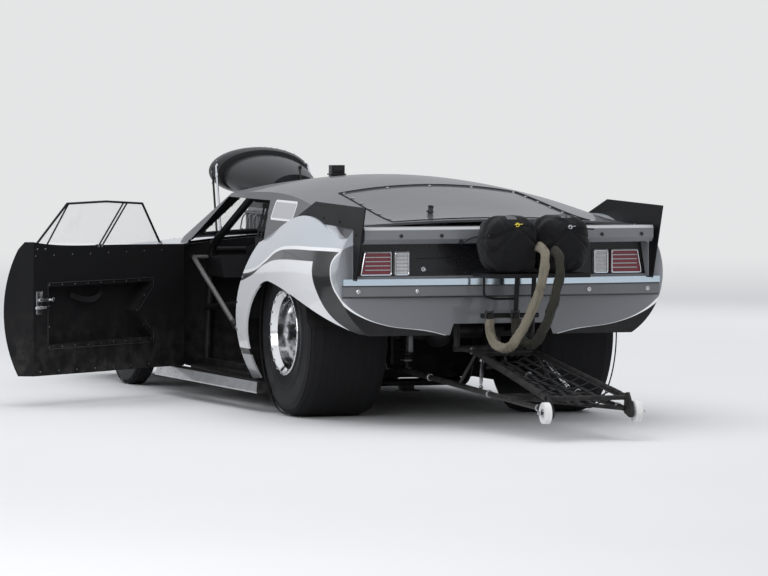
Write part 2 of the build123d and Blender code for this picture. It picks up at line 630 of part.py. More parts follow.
# Links beside their brackets, and a coil-over shock each side under the cross tube
link_radius = 14.0
link_y = link_bracket_y + bracket_wall + link_radius + seat_gap
link_runs = [((20, rear_tyre_radius - 130), (link_front_x, 180)), ((25, rear_tyre_radius + 35), (link_front_x, 330))]
coil_radius, coil_root, coils = 31.0, 25.0, 9
links = []
link_holes = []
for side in (1, -1):
    for (xa, za), (xb, zb) in link_runs:
        links.append(rod((xa, side * link_y, za), (xb, side * link_y, zb), link_radius))
        link_holes.append(rod((xa, side * link_y, za), (xb, side * link_y, zb), link_radius + 4))
    shock_foot_z = axle_bracket_foot_z + shock_foot_wall + seat_gap
    shock_head_z = rear_rail_z - brace_radius - seat_gap
    coil_foot_z, coil_head_z = shock_foot_z + 40, shock_head_z - 30
    pitch = (coil_head_z - coil_foot_z) / coils
    profile = [(0, shock_foot_z), (16, shock_foot_z), (16, coil_foot_z - 4)]
    for i in range(coils):
        z = coil_foot_z + pitch * i
        profile += [(coil_root, z), (coil_radius, z + pitch * 0.3), (coil_radius, z + pitch * 0.7)]
    profile += [(coil_root, coil_head_z), (14, coil_head_z + 4), (14, shock_head_z), (0, shock_head_z)]
    links.append(turned_upright(profile, shock_x, side * shock_y))
links = [link - housing - chassis for link in links]
keep("four_link_bars", Compound(links))
keep("rear_bulkhead", bulkhead - link_holes)

# Rear wheels: tyres, deep polished rims and the axle between them, all one turning body
hw = rear_tyre_width / 2
bead_radius = rear_rim_radius - bead_inset
tyre_profile = [(-hw + 10, bead_radius), (-hw, bead_radius + 52), (-hw + 2, rear_tyre_radius - 60),
                (-hw + 22, rear_tyre_radius - 14), (-hw + 62, rear_tyre_radius), (hw - 62, rear_tyre_radius),
                (hw - 22, rear_tyre_radius - 14), (hw - 2, rear_tyre_radius - 60), (hw, bead_radius + 52),
                (hw - 10, bead_radius)]
rim_profile = [(-hw + 10, bead_radius), (hw - 10, bead_radius), (hw + 4, bead_radius),
               (hw + 4, rear_rim_radius - 14), (hw - 24, rear_rim_radius - 30), (60, rear_rim_radius - 36),
               (60, 40), (44, 40), (44, rear_rim_radius - 36), (-hw + 24, rear_rim_radius - 30),
               (-hw - 4, rear_rim_radius - 14), (-hw - 4, bead_radius)]
window_radius, window_circle, windows = 30.0, 125.0, 8
hub_radius = 40.0


def placed(profile, side, middle_y):
    """Set a wheel's profile at its place on one side."""
    return [(side * (middle_y + y), r) for y, r in profile]


def on_circle(count, radius, x, z):
    """Places spaced evenly round an axle line."""
    for i in range(count):
        angle = 2 * math.pi * i / count
        yield x + radius * math.cos(angle), z + radius * math.sin(angle)


shaft = across_y(axle_radius, -rear_tyre_y - 70, rear_tyre_y + 70, 0, rear_tyre_radius)
for side, word in ((1, "left"), (-1, "right")):
    keep(f"{word}_rear_tyre", turned(placed(tyre_profile, side, rear_tyre_y), 0, rear_tyre_radius))
    rim = turned(placed(rim_profile, side, rear_tyre_y), 0, rear_tyre_radius)
    for x, z in on_circle(windows, window_circle, 0, rear_tyre_radius):
        rim -= across_y(window_radius, side * (rear_tyre_y + 30), side * (rear_tyre_y + 75), x, z)
    keep(f"{word}_rear_rim", rim)
    shaft += across_y(hub_radius, side * (rear_tyre_y + 40), side * (rear_tyre_y + 95), 0, rear_tyre_radius)
    shaft -= rim
keep("rear_axle_shaft", shaft)

# Front wheels: narrow tyres on deep rims with a brake disc inside, each on its knuckle
fw = front_tyre_width / 2
front_bead_radius = front_rim_radius - bead_inset
front_tyre_profile = [(-fw + 6, front_bead_radius), (-fw, front_rim_radius + 30), (-fw + 4, front_tyre_radius - 22),
                      (-fw + 24, front_tyre_radius), (fw - 24, front_tyre_radius), (fw - 4, front_tyre_radius - 22),
                      (fw, front_rim_radius + 30), (fw - 6, front_bead_radius)]
front_rim_profile = [(-fw + 6, front_bead_radius), (fw + 3, front_bead_radius), (fw + 3, front_rim_radius - 12),
                     (fw - 20, front_rim_radius - 24), (20, front_rim_radius - 28), (20, 26), (8, 26),
                     (8, front_rim_radius - 28), (-fw - 3, front_rim_radius - 14), (-fw - 3, front_bead_radius)]
spindle_radius, front_hub_radius = 18.0, 34.0
front_window_radius, front_window_circle = 24.0, 105.0
disc_radius, disc_wall = 150.0, 10.0
knuckle_foot_z = front_tyre_radius - 95
ball_height, arm_radius, rack_y = 25.0, 12.0, 285.0
for side, word in ((1, "left"), (-1, "right")):
    keep(f"{word}_front_tyre", turned(placed(front_tyre_profile, side, front_tyre_y), wheelbase, front_tyre_radius))
    rim = turned(placed(front_rim_profile, side, front_tyre_y), wheelbase, front_tyre_radius)
    for x, z in on_circle(windows, front_window_circle, wheelbase, front_tyre_radius):
        rim -= across_y(front_window_radius, side * front_tyre_y, side * (front_tyre_y + 30), x, z)
    rim += across_y(front_hub_radius, side * (kingpin_y + 42), side * (front_tyre_y + 40), wheelbase, front_tyre_radius)
    rim += across_y(disc_radius, side * (kingpin_y + 46), side * (kingpin_y + 46 + disc_wall), wheelbase,
                    front_tyre_radius)
    rim -= across_y(spindle_radius + seat_gap, side * kingpin_y, side * (front_tyre_y + 22), wheelbase,
                    front_tyre_radius)
    keep(f"{word}_front_rim", rim)
    knuckle = block(wheelbase - 22, wheelbase + 22, side * (kingpin_y - 16), side * (kingpin_y + 26), knuckle_foot_z,
                    front_tyre_radius + 110)
    knuckle += across_y(spindle_radius, side * (kingpin_y + 20), side * (front_tyre_y + 18), wheelbase,
                        front_tyre_radius)
    knuckle += rod((wheelbase, side * kingpin_y, front_tyre_radius + 100),
                   (wheelbase, side * kingpin_y, tower_z - tower_height / 2 - seat_gap), kingpin_radius)
    knuckle += rod((wheelbase, side * kingpin_y, front_tyre_radius - 30),
                   (ahead(-130), side * (kingpin_y - 30), front_tyre_radius - 30), 10)
    keep(f"{word}_knuckle", knuckle)
    ball_z = knuckle_foot_z - seat_gap - ball_height / 2
    arm = Pos(wheelbase, side * kingpin_y, ball_z) * Cylinder(20, ball_height)
    for x in (ahead(90), ahead(-130)):
        arm += rod((wheelbase, side * kingpin_y, ball_z - 7), (x, side * rack_y, rail_z + 10), arm_radius)
    keep(f"{word}_control_arm", arm - chassis)

# Engine: one block at its place, with the supercharger and injector scoop above the hood
head_y, valley_z, head_z = 330.0, 690.0, 560.0
engine_outline = [(-150, engine_foot_z), (150, engine_foot_z), (170, 330), (head_y, head_z), (220, valley_z),
                  (-220, valley_z), (-head_y, head_z), (-170, 330)]
engine = prism_along_x(engine_outline, engine_rear_x, engine_front_x) - chassis - cage
keep("engine_block", engine)
blower_rear_x, blower_front_x, blower_half, blower_top_z = ahead(-591), ahead(-121), 122.0, 985.0
rib_depth, rib_wall, ribs = 13.0, 12.0, 8
pulley_radius, pulley_z = 72.0, 800.0
blower = block(blower_rear_x, blower_front_x, -blower_half, blower_half, valley_z + seat_gap, blower_top_z)
rib_pitch = (blower_front_x - blower_rear_x - rib_wall) / (ribs - 1)
for i in range(ribs):
    x = blower_rear_x + rib_pitch * i
    blower += block(x, x + rib_wall, -blower_half - rib_depth, blower_half + rib_depth, valley_z + 60, blower_top_z - 20)
blower += rod((blower_front_x, 0, pulley_z), (blower_front_x + 30, 0, pulley_z), 40)
blower += rod((blower_front_x + 24, 0, pulley_z), (blower_front_x + 62, 0, pulley_z), pulley_radius)
keep("supercharger", blower)

# Scoop: a wide bell at the mouth, stepped down to the throat. Columns: place ahead of the
# front axle, half width, bottom, top
bell_rings = [(89, 285, 1045, 1312), (30, 283, 1043, 1311), (-20, 262, 1040, 1298)]
throat_rings = [(-20, 236, 1034, 1272), (-260, 205, 1015, 1252), (-581, 135, 1010, 1175)]
scoop_wall = 8.0


def scoop_form(rings, inset, front, rear):
    """Loft through oval rings, with its first and last rings moved forward by some amount."""
    sections = []
    for i, (distance, half_y, z0, z1) in enumerate(rings):
        shift = front if i == 0 else rear if i == len(rings) - 1 else 0
        plane = Plane(origin=(ahead(distance + shift), 0, (z0 + z1) / 2), x_dir=(0, 1, 0), z_dir=(1, 0, 0))
        sections.append(plane * Ellipse(half_y - inset, (z1 - z0) / 2 - inset))
    return loft(sections)


scoop_outer = scoop_form(bell_rings, 0, 0, 0) + scoop_form(throat_rings, 0, 0, 0)
scoop = scoop_outer - scoop_form(bell_rings, scoop_wall, 20, scoop_wall) - scoop_form(throat_rings, scoop_wall, 20, 20)
scoop += block(ahead(-571), ahead(-161), -130, 130, blower_top_z + seat_gap, 1060) - scoop_outer
scoop += across_y(9, -92, 92, ahead(-585), 1105)
for side in (1, -1):
    brace = rod((ahead(40), side * 280, 1200), (ahead(4), side * 262, 800), 6)
    scoop += brace - body_clear - scoop_form(bell_rings, scoop_wall, 20, scoop_wall)
keep("injector_scoop", scoop)

# Headers: four pipes a side from the heads out through the wing behind the wheel
pipe_radius, pipe_bend, ports = 27.0, 60.0, 4
port_pitch, exit_pitch, exit_y = 130.0, 74.0, 884.0
flange_y, flange_wall = 322.0, 12.0
for side, name in ((1, "left_headers"), (-1, "right_headers")):
    pipes = [block(engine_rear_x + 30, engine_front_x - 20, side * flange_y, side * (flange_y + flange_wall), 520, 590)
             - engine]
    for i in range(ports):
        port_x = engine_rear_x + 80 + port_pitch * i
        exit_x = engine_rear_x + 70 + exit_pitch * i
        pipes.append(bent_tube([(port_x, side * (flange_y + 8), 555), (port_x, side * 450, 540),
                                (exit_x, side * 640, 330), (exit_x - 30, side * exit_y, 318)], pipe_radius, pipe_bend))
    keep(name, fused(pipes) - chassis - cage - engine)

# Cabin: bucket seat with raised sides, dash and steering
seat_z = floor_z + tin_wall + seat_gap
seat_half, seat_wall = 205.0, 32.0
seat_side = [(760, seat_z), (1250, seat_z), (1290, 340), (1245, 420), (1080, 430), (1000, 520), (960, 700), (925, 870),
             (790, 880)]
seat_pan = [(975, 310), (1310, 350), (1310, 500), (1200, 900), (862, 900)]
seat = prism_along_y(seat_side, seat_y - seat_half, seat_y + seat_half)
seat -= prism_along_y(seat_pan, seat_y - seat_half + seat_wall, seat_y + seat_half - seat_wall)
keep("driver_seat", seat - cage)
dash = prism_along_y([(ahead(-1221), 640), (ahead(-931), 640), (ahead(-931), 740), (ahead(-1161), 760)],
                     -cage_side + 8, cage_side - 8)
hood_over_dials = prism_along_y([(ahead(-1225), 752), (ahead(-1100), 755), (ahead(-1100), 800), (ahead(-1225), 815)],
                                seat_y - 130, seat_y + 130)
dash = dash + hood_over_dials - cage
keep("dashboard", dash)
steering_radius, grip_radius, column_angle, column_length = 135.0, 11.0, 5.0, 290.0
wheel_center = (ahead(-1441), seat_y, 690)
column_end = (wheel_center[0] + column_length * math.cos(math.radians(column_angle)), seat_y,
              wheel_center[2] - column_length * math.sin(math.radians(column_angle)))
steering = Torus(steering_radius, grip_radius)
for i in range(3):
    steering += Rot(0, 0, 120 * i + 90) * Pos(steering_radius / 2, 0, 0) * Box(steering_radius, 26, 8)
steering += Cylinder(28, 20)
steering = Pos(*wheel_center) * Rot(0, 90 + column_angle, 0) * steering
keep("steering_wheel", (steering + rod(wheel_center, column_end, 14)) - dash)

# Nose: grille with bars between two round lamps each side, and the splitter below
grille_x = body_stations[0].x - body_wall - seat_gap
grille_depth, grille_bar, grille_bars = 12.0, 4.0, 6
lamp_ring_radius, lamp_glass_radius, lamp_mid_z = 66.0, 58.0, 505.0
grille = block(grille_x - grille_depth, grille_x, -grille_half - 15, grille_half + 15, grille_bottom_z - 15,
               grille_top_z + 15)
grille -= block(grille_x - 20, grille_x + 10, -grille_half + 15, grille_half - 15, grille_bottom_z + 12,
                grille_top_z - 12)
bar_pitch = (grille_top_z - grille_bottom_z - 44) / (grille_bars - 1)
for i in range(grille_bars):
    z = grille_bottom_z + 32 + bar_pitch * i
    grille += block(grille_x - 11, grille_x - 1, -grille_half + 10, grille_half - 10, z - grille_bar, z + grille_bar)
for y in (470, 330, -330, -470):
    grille -= rod((grille_x - 40, y, lamp_mid_z), (grille_x + 5, y, lamp_mid_z), lamp_ring_radius - 3)
    bowl = rod((grille_x - 30, y, lamp_mid_z), (grille_x - 1, y, lamp_mid_z), lamp_ring_radius)
    grille += bowl - rod((grille_x - 12, y, lamp_mid_z), (grille_x + 5, y, lamp_mid_z), lamp_glass_radius)
keep("grille", grille & inner_body)
splitter = prism_along_z([(ahead(639), -700), (ahead(979), -640), (ahead(1039), 0), (ahead(979), 640),
                          (ahead(639), 700)], splitter_top_z - splitter_wall, splitter_top_z)
keep("front_splitter", splitter)

# Wheelie bars behind, with their two small wheels
bar_radius, bar_rear_x, bar_rear_y, bar_wheel_z = 14.0, -2200.0, 235.0, 140.0
bar_wheel_radius, bar_wheel_width, bar_axle_radius = 52.0, 30.0, 7.0
upper_front, upper_rear = (tail_x + 10, 152.0, 376.0), (-2145.0, 206.0, 205.0)
lower_front, lower_rear = (-55.0, 290.0, axle_bracket_foot_z + 20), (-2135.0, 202.0, 150.0)


def along(start, end, x):
    """The point at a place along the car on the line between two points."""
    share = (x - start[0]) / (end[0] - start[0])
    return tuple(a + share * (b - a) for a, b in zip(start, end))


def on_side(point, side):
    """A point of the left side, or its mirror image on the right."""
    return point[0], side * point[1], point[2]


strut_x, middle_tube_x, yoke_y = -1010.0, -1500.0, 200.0
bars = []
for side in (1, -1):
    bars.append(rod(on_side(lower_front, side), on_side(lower_rear, side), bar_radius))
    bars.append(rod(on_side(upper_front, side), on_side(upper_rear, side), bar_radius))
    bars.append(rod(on_side(upper_front, side), (tail_tube_x, side * 175, bar_drop_z), bar_radius))
    yoke = prism_along_y([(-2120, 130), (-2120, 225), (-2165, 232), (-2215, 170), (-2232, 150), (-2232, 128),
                          (-2210, 112), (-2185, 112)], side * yoke_y, side * (yoke_y + 12))
    bars.append(yoke)
    bars.append(rod((bar_rear_x, side * (yoke_y + 6), bar_wheel_z), (bar_rear_x, side * (bar_rear_y + 27), bar_wheel_z),
                    bar_axle_radius))
    bars.append(rod(on_side(along(upper_front, upper_rear, strut_x), side),
                    on_side(along(lower_front, lower_rear, strut_x), side), 8))
upper_cross = along(upper_front, upper_rear, strut_x)
lower_cross = along(lower_front, lower_rear, middle_tube_x)
bars.append(across_y(bar_radius, -upper_cross[1], upper_cross[1], strut_x, upper_cross[2]))
bars.append(across_y(12, -lower_cross[1], lower_cross[1], middle_tube_x, lower_cross[2]))
bars.append(across_y(12, -upper_rear[1], upper_rear[1], upper_rear[0] + 5, upper_rear[2]))
bars.append(rod(lower_cross, on_side(lower_rear, -1), 10))
keep("wheelie_bar_frame", fused(bars) - chassis - housing)
for side, word in ((1, "left"), (-1, "right")):
    y = side * bar_rear_y
    small = across_y(bar_wheel_radius, y - bar_wheel_width / 2, y + bar_wheel_width / 2, bar_rear_x, bar_wheel_z)
    small -= across_y(bar_axle_radius + seat_gap, y - 35, y + 35, bar_rear_x, bar_wheel_z)
    keep(f"{word}_wheelie_wheel", small)

# Net laced between the upper tubes, sagging in the middle
net_wall, net_sag = 5.0, 42.0
net_front_x, net_rear_x = strut_x - bar_radius - 10, upper_rear[0] + 40


def net_section(x):
    """Outline across the net at one place along the car."""
    _, tube_y, tube_z = along(upper_front, upper_rear, x)
    half = tube_y - bar_radius - seat_gap
    top, bottom = tube_z, tube_z - net_wall
    return Wire([
        Edge.make_three_point_arc((x, half, top), (x, 0, top - net_sag), (x, -half, top)),
        Edge.make_line((x, -half, top), (x, -half, bottom)),
        Edge.make_three_point_arc((x, -half, bottom), (x, 0, bottom - net_sag), (x, half, bottom)),
        Edge.make_line((x, half, bottom), (x, half, top)),
    ])


keep("wheelie_net", Solid.make_loft([net_section(net_front_x), net_section(net_rear_x)], ruled=True))

# Parachutes: two packs on a tray behind the tail, held by arms on the chassis
pack_z0, pack_z1, pack_round = 773.0, 1056.0, 62.0
pack_rear_x, pack_front_x = -1355.0, -1090.0
pack_sides = {"left_parachute_pack": (-62, 218), "right_parachute_pack": (-348, -68)}


def pack_form(name, grow=0.0):
    """A rounded pack, or the same form grown all round."""
    y0, y1 = pack_sides[name]
    pack = block(pack_rear_x - grow, pack_front_x + grow, y0 - grow, y1 + grow, pack_z0 - grow, pack_z1 + grow)
    return fillet(pack.edges(), pack_round + grow)


for name in pack_sides:
    keep(name, pack_form(name))
tray_wall, arm_bar_radius = 20.7, 12.0
tray_z = pack_z0 - seat_gap - tray_wall
lug_x, lug_z, lug_wall = -1180.0, 545.0, 24.0
tether_ends = (150.0, 12.0)
bracket = block(pack_rear_x + 25, pack_front_x + 10, -330, 200, tray_z, tray_z + tray_wall)
for y in (-110, -20):
    bracket += bent_tube([(-1120, y, tray_z), (-1090, y, 470), (tail_tube_x - 5, y, 450)], arm_bar_radius, 60)
    bracket += rod((tail_tube_x - 5, y, 450), (tail_tube_x - 5, y, bar_drop_z + 10), arm_bar_radius)
bracket += across_y(arm_bar_radius, -140, tether_ends[0] + 14, -1098, lug_z + 12)
for y in tether_ends:
    bracket += block(lug_x - 18, -1098, y - 12, y + 12, lug_z, lug_z + lug_wall)
guard = bent_tube([(-1120, 157, tray_z), (-1120, 157, 655), (-1098, 90, 640), (-1098, -25, 640)], 6, 24)
keep("parachute_bracket", bracket + guard - chassis)

# Tethers: webbing sleeves that leave the packs, hang in a loop and end in the lugs
tether_radius = 25.0
tether_routes = {
    "left_tether": [(pack_rear_x + 30, -58, 905), (-1410, -55, 898), (-1440, -50, 848), (-1440, -38, 780),
                    (-1428, -10, 660), (-1408, 30, 545), (-1375, 70, 455), (-1325, 100, 405), (-1265, 122, 400),
                    (-1215, 138, 430), (lug_x, tether_ends[0], 485), (lug_x, tether_ends[0], lug_z - seat_gap)],
    "right_tether": [(pack_rear_x + 5, -130, 885), (-1410, -130, 878), (-1440, -127, 828), (-1442, -120, 762),
                     (-1432, -100, 650), (-1410, -75, 545), (-1375, -55, 470), (-1325, -35, 425), (-1265, -15, 420),
                     (-1215, 0, 448), (lug_x, tether_ends[1], 492), (lug_x, tether_ends[1], lug_z - seat_gap)],
}


def corner_radii(points):
    """Bend at each corner: as large as its two runs allow."""
    radii = []
    for a, b, c in zip(points, points[1:], points[2:]):
        first, second = Vector(*b) - Vector(*a), Vector(*c) - Vector(*b)
        half_turn = math.radians(first.get_angle(second)) / 2
        radii.append(0.45 * min(first.length, second.length) / math.tan(half_turn))
    return radii


for name, route in tether_routes.items():
    radii = corner_radii(route)
    tether = bent_tube(route, tether_radius, radii)
    length = tether.volume / (math.pi * tether_radius ** 2)
    for pack_name in pack_sides:
        tether -= pack_form(pack_name, seat_gap)
    keep(name, tether)
    print(name, "length", round(length), "radii", [round(r) for r in radii])

# Small box on the roof
roof_box = block(ahead(-1551), ahead(-1501), 40, 114, 1120, 1249) - outer_roof
keep("roof_box", roof_box)

offset = Pos(-jack_pad_x, 0, -ride_height)
os.makedirs("parts", exist_ok=True)
for name, shape in pieces.items():
    export_step(offset * shape, f"parts/{name}.step")
    print(name, round(shape.volume / 1e6, 3), len(shape.solids()))
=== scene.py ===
"""Looks of a full-size doorslammer drag car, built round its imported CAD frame."""
from __future__ import annotations

import json
import logging
import math
from dataclasses import dataclass, field
from enum import Enum
from typing import Callable, Iterable, Sequence

import bmesh
import bpy
from mathutils import Matrix, Vector, noise
from mathutils.bvhtree import BVHTree

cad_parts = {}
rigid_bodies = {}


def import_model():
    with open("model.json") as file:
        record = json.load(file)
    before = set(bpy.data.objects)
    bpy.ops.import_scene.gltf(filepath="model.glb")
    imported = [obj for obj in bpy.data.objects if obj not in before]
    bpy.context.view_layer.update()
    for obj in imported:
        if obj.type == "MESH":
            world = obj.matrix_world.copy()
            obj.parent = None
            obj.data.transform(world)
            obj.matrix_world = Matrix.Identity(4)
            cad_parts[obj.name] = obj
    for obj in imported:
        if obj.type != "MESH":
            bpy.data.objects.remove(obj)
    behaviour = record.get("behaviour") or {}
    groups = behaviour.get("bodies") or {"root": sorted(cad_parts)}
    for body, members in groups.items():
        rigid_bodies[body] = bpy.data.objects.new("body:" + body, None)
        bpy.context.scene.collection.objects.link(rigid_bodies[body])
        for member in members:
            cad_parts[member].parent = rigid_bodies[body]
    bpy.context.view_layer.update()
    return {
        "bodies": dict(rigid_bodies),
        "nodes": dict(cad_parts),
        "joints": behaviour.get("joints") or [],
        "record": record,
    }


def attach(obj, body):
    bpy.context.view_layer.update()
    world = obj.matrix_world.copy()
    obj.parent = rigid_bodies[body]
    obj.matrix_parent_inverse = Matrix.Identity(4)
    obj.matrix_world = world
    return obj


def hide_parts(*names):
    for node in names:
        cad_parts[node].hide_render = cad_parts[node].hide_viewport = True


LOG = logging.getLogger("drag_car")

# The car's own axes put x at the rear axle and z at the floor; the row's origin is the jack pad.
PAD_X = 0.450
RIDE = 0.088
HINGE = Vector((1.948, 0.880, 0.0))
DOOR_OPEN = math.radians(54.5)
BODY = "car_body"

Point = tuple[float, float, float]
Colour = tuple[float, float, float]


def car(x: float, y: float, z: float) -> Vector:
    """Turn a place on the car's own axes into the row frame.

    Args:
        x: Metres ahead of the rear axle.
        y: Metres to the left of the centreline.
        z: Metres above the floor.

    Returns:
        The same place in the row frame.
    """
    return Vector((x - PAD_X, y, z - RIDE))


class Side(Enum):
    """The two sides of the car, valued by the sign of Y."""

    LEFT = 1
    RIGHT = -1

    @property
    def word(self) -> str:
        """The side's name in lower case."""
        return self.name.lower()


class Graph:
    """Short calls that lay nodes in a material or a node group."""

    def __init__(self, tree: bpy.types.NodeTree) -> None:
        """Keep the tree that the calls write to."""
        self.tree = tree

    def add(self, kind: str, **settings: object) -> bpy.types.Node:
        """Add a node.

        Args:
            kind: The node's type name.
            settings: Properties to set on it.

        Returns:
            The new node.
        """
        node = self.tree.nodes.new(kind)
        for name, value in settings.items():
            setattr(node, name, value)
        return node

    def feed(self, socket: bpy.types.NodeSocket, value: object) -> None:
        """Link a socket to another one, or give it a plain value.

        Args:
            socket: The input to fill.
            value: An output socket, a number, or a tuple.
        """
        if isinstance(value, bpy.types.NodeSocket):
            self.tree.links.new(value, socket)
        elif value is not None:
            if socket.type == "RGBA" and len(value) == 3:
                value = (*value, 1.0)
            socket.default_value = value

    def math(self, operation: str, *values: object, clamp: bool = False) -> bpy.types.NodeSocket:
        """Add a math node.

        Args:
            operation: The sum to do.
            values: Its inputs, as sockets or numbers.
            clamp: Whether the result is kept between 0 and 1.

        Returns:
            The result's socket.
        """
        node = self.add("ShaderNodeMath", operation=operation, use_clamp=clamp)
        for socket, value in zip(node.inputs, values):
            self.feed(socket, value)
        return node.outputs[0]

    def ramp(self, value: object, low: float, high: float, smooth: bool = True) -> bpy.types.NodeSocket:
        """Turn a value into a mask that rises from 0 at low to 1 at high.

        Args:
            value: The socket to read.
            low: Value where the mask is 0.
            high: Value where the mask is 1.
            smooth: Whether the edge eases in and out.

        Returns:
            The mask's socket.
        """
        node = self.add("ShaderNodeMapRange", interpolation_type="SMOOTHSTEP" if smooth else "LINEAR")
        self.feed(node.inputs["Value"], value)
        node.inputs["From Min"].default_value = low
        node.inputs["From Max"].default_value = high
        return node.outputs["Result"]

    def mix(self, factor: object, first: object, second: object) -> bpy.types.NodeSocket:
        """Mix two colours.

        Args:
            factor: Share of the second colour.
            first: Colour at 0.
            second: Colour at 1.

        Returns:
            The mixed colour's socket.
        """
        node = self.add("ShaderNodeMix", data_type="RGBA")
        self.feed(node.inputs["Factor"], factor)
        self.feed(node.inputs[6], first)
        self.feed(node.inputs[7], second)
        return node.outputs[2]

    def noise(self, vector: object, scale: float, detail: float = 3.0, rough: float = 0.5) -> bpy.types.NodeSocket:
        """Add a noise texture.

        Args:
            vector: Where it reads.
            scale: How fine it is.
            detail: How many octaves it has.
            rough: How strong the finer octaves are.

        Returns:
            The noise's socket, from 0 to 1.
        """
        node = self.add("ShaderNodeTexNoise")
        self.feed(node.inputs["Vector"], vector)
        node.inputs["Scale"].default_value = scale
        node.inputs["Detail"].default_value = detail
        node.inputs["Roughness"].default_value = rough
        return node.outputs[0]

    def curve(self, value: object, low: float, high: float, out_low: float, out_high: float,
              points: Sequence[tuple[float, float]]) -> bpy.types.NodeSocket:
        """Look a value up on a smooth curve through a few points.

        Args:
            value: The socket to read.
            low: Lowest place on the curve.
            high: Highest place on the curve.
            out_low: Result at the bottom of the curve's range.
            out_high: Result at its top.
            points: Places and results, in rising order of place.

        Returns:
            The result's socket.
        """
        place = self.add("ShaderNodeMapRange")
        self.feed(place.inputs["Value"], value)
        place.inputs["From Min"].default_value = low
        place.inputs["From Max"].default_value = high
        node = self.add("ShaderNodeFloatCurve")
        self.feed(node.inputs["Value"], place.outputs["Result"])
        line = node.mapping.curves[0]
        spots = [((p - low) / (high - low), (r - out_low) / (out_high - out_low)) for p, r in points]
        line.points[0].location = spots[0]
        line.points[1].location = spots[-1]
        for spot in spots[1:-1]:
            line.points.new(*spot)
        node.mapping.update()
        back = self.add("ShaderNodeMapRange", clamp=False)
        self.feed(back.inputs["Value"], node.outputs[0])
        back.inputs["To Min"].default_value = out_low
        back.inputs["To Max"].default_value = out_high
        return back.outputs["Result"]

    def bump(self, height: object, strength: float, distance: float = 0.001) -> bpy.types.NodeSocket:
        """Add a bump node.

        Args:
            height: The height's socket.
            strength: How strong it is.
            distance: How high it is, in metres.

        Returns:
            The normal's socket.
        """
        node = self.add("ShaderNodeBump")
        node.inputs["Strength"].default_value = strength
        node.inputs["Distance"].default_value = distance
        self.feed(node.inputs["Height"], height)
        return node.outputs[0]


def new_group(name: str, inputs: Iterable[tuple[str, str]], outputs: Iterable[tuple[str, str]]
              ) -> tuple[bpy.types.NodeTree, Graph, bpy.types.Node, bpy.types.Node]:
    """Start a shader node group.

    Args:
        name: The group's name.
        inputs: Names and socket types of its inputs.
        outputs: Names and socket types of its outputs.

    Returns:
        The group, a graph on it, and its input and output nodes.
    """
    tree = bpy.data.node_groups.new(name, "ShaderNodeTree")
    for label, kind in inputs:
        tree.interface.new_socket(name=label, in_out="INPUT", socket_type=kind)
    for label, kind in outputs:
        tree.interface.new_socket(name=label, in_out="OUTPUT", socket_type=kind)
    graph = Graph(tree)
    return tree, graph, graph.add("NodeGroupInput"), graph.add("NodeGroupOutput")


@dataclass(frozen=True)
class Palette:
    """The paint colours of the car, as linear values, with two colours of painted light: the grey sky reflection on the
    swoosh and the shade on the tail's rear face.
    """

    silver: Colour = (0.47, 0.50, 0.54)
    white: Colour = (0.80, 0.81, 0.83)
    stripe: Colour = (0.86, 0.87, 0.88)
    # Painted sky reflection: the grey that the swoosh's upper part shows over its black paint.
    swoosh: Colour = (0.060, 0.061, 0.066)
    black: Colour = (0.005, 0.005, 0.006)
    gunmetal: Colour = (0.060, 0.061, 0.067)
    # Painted shade: the tail and the deck lip wear the same silver as the sides; this darker grey stands for the shade
    # on their rear faces.
    tail_grey: Colour = (0.150, 0.157, 0.170)
    inside: Colour = (0.012, 0.012, 0.013)
    lip_top: Colour = (0.42, 0.43, 0.44)


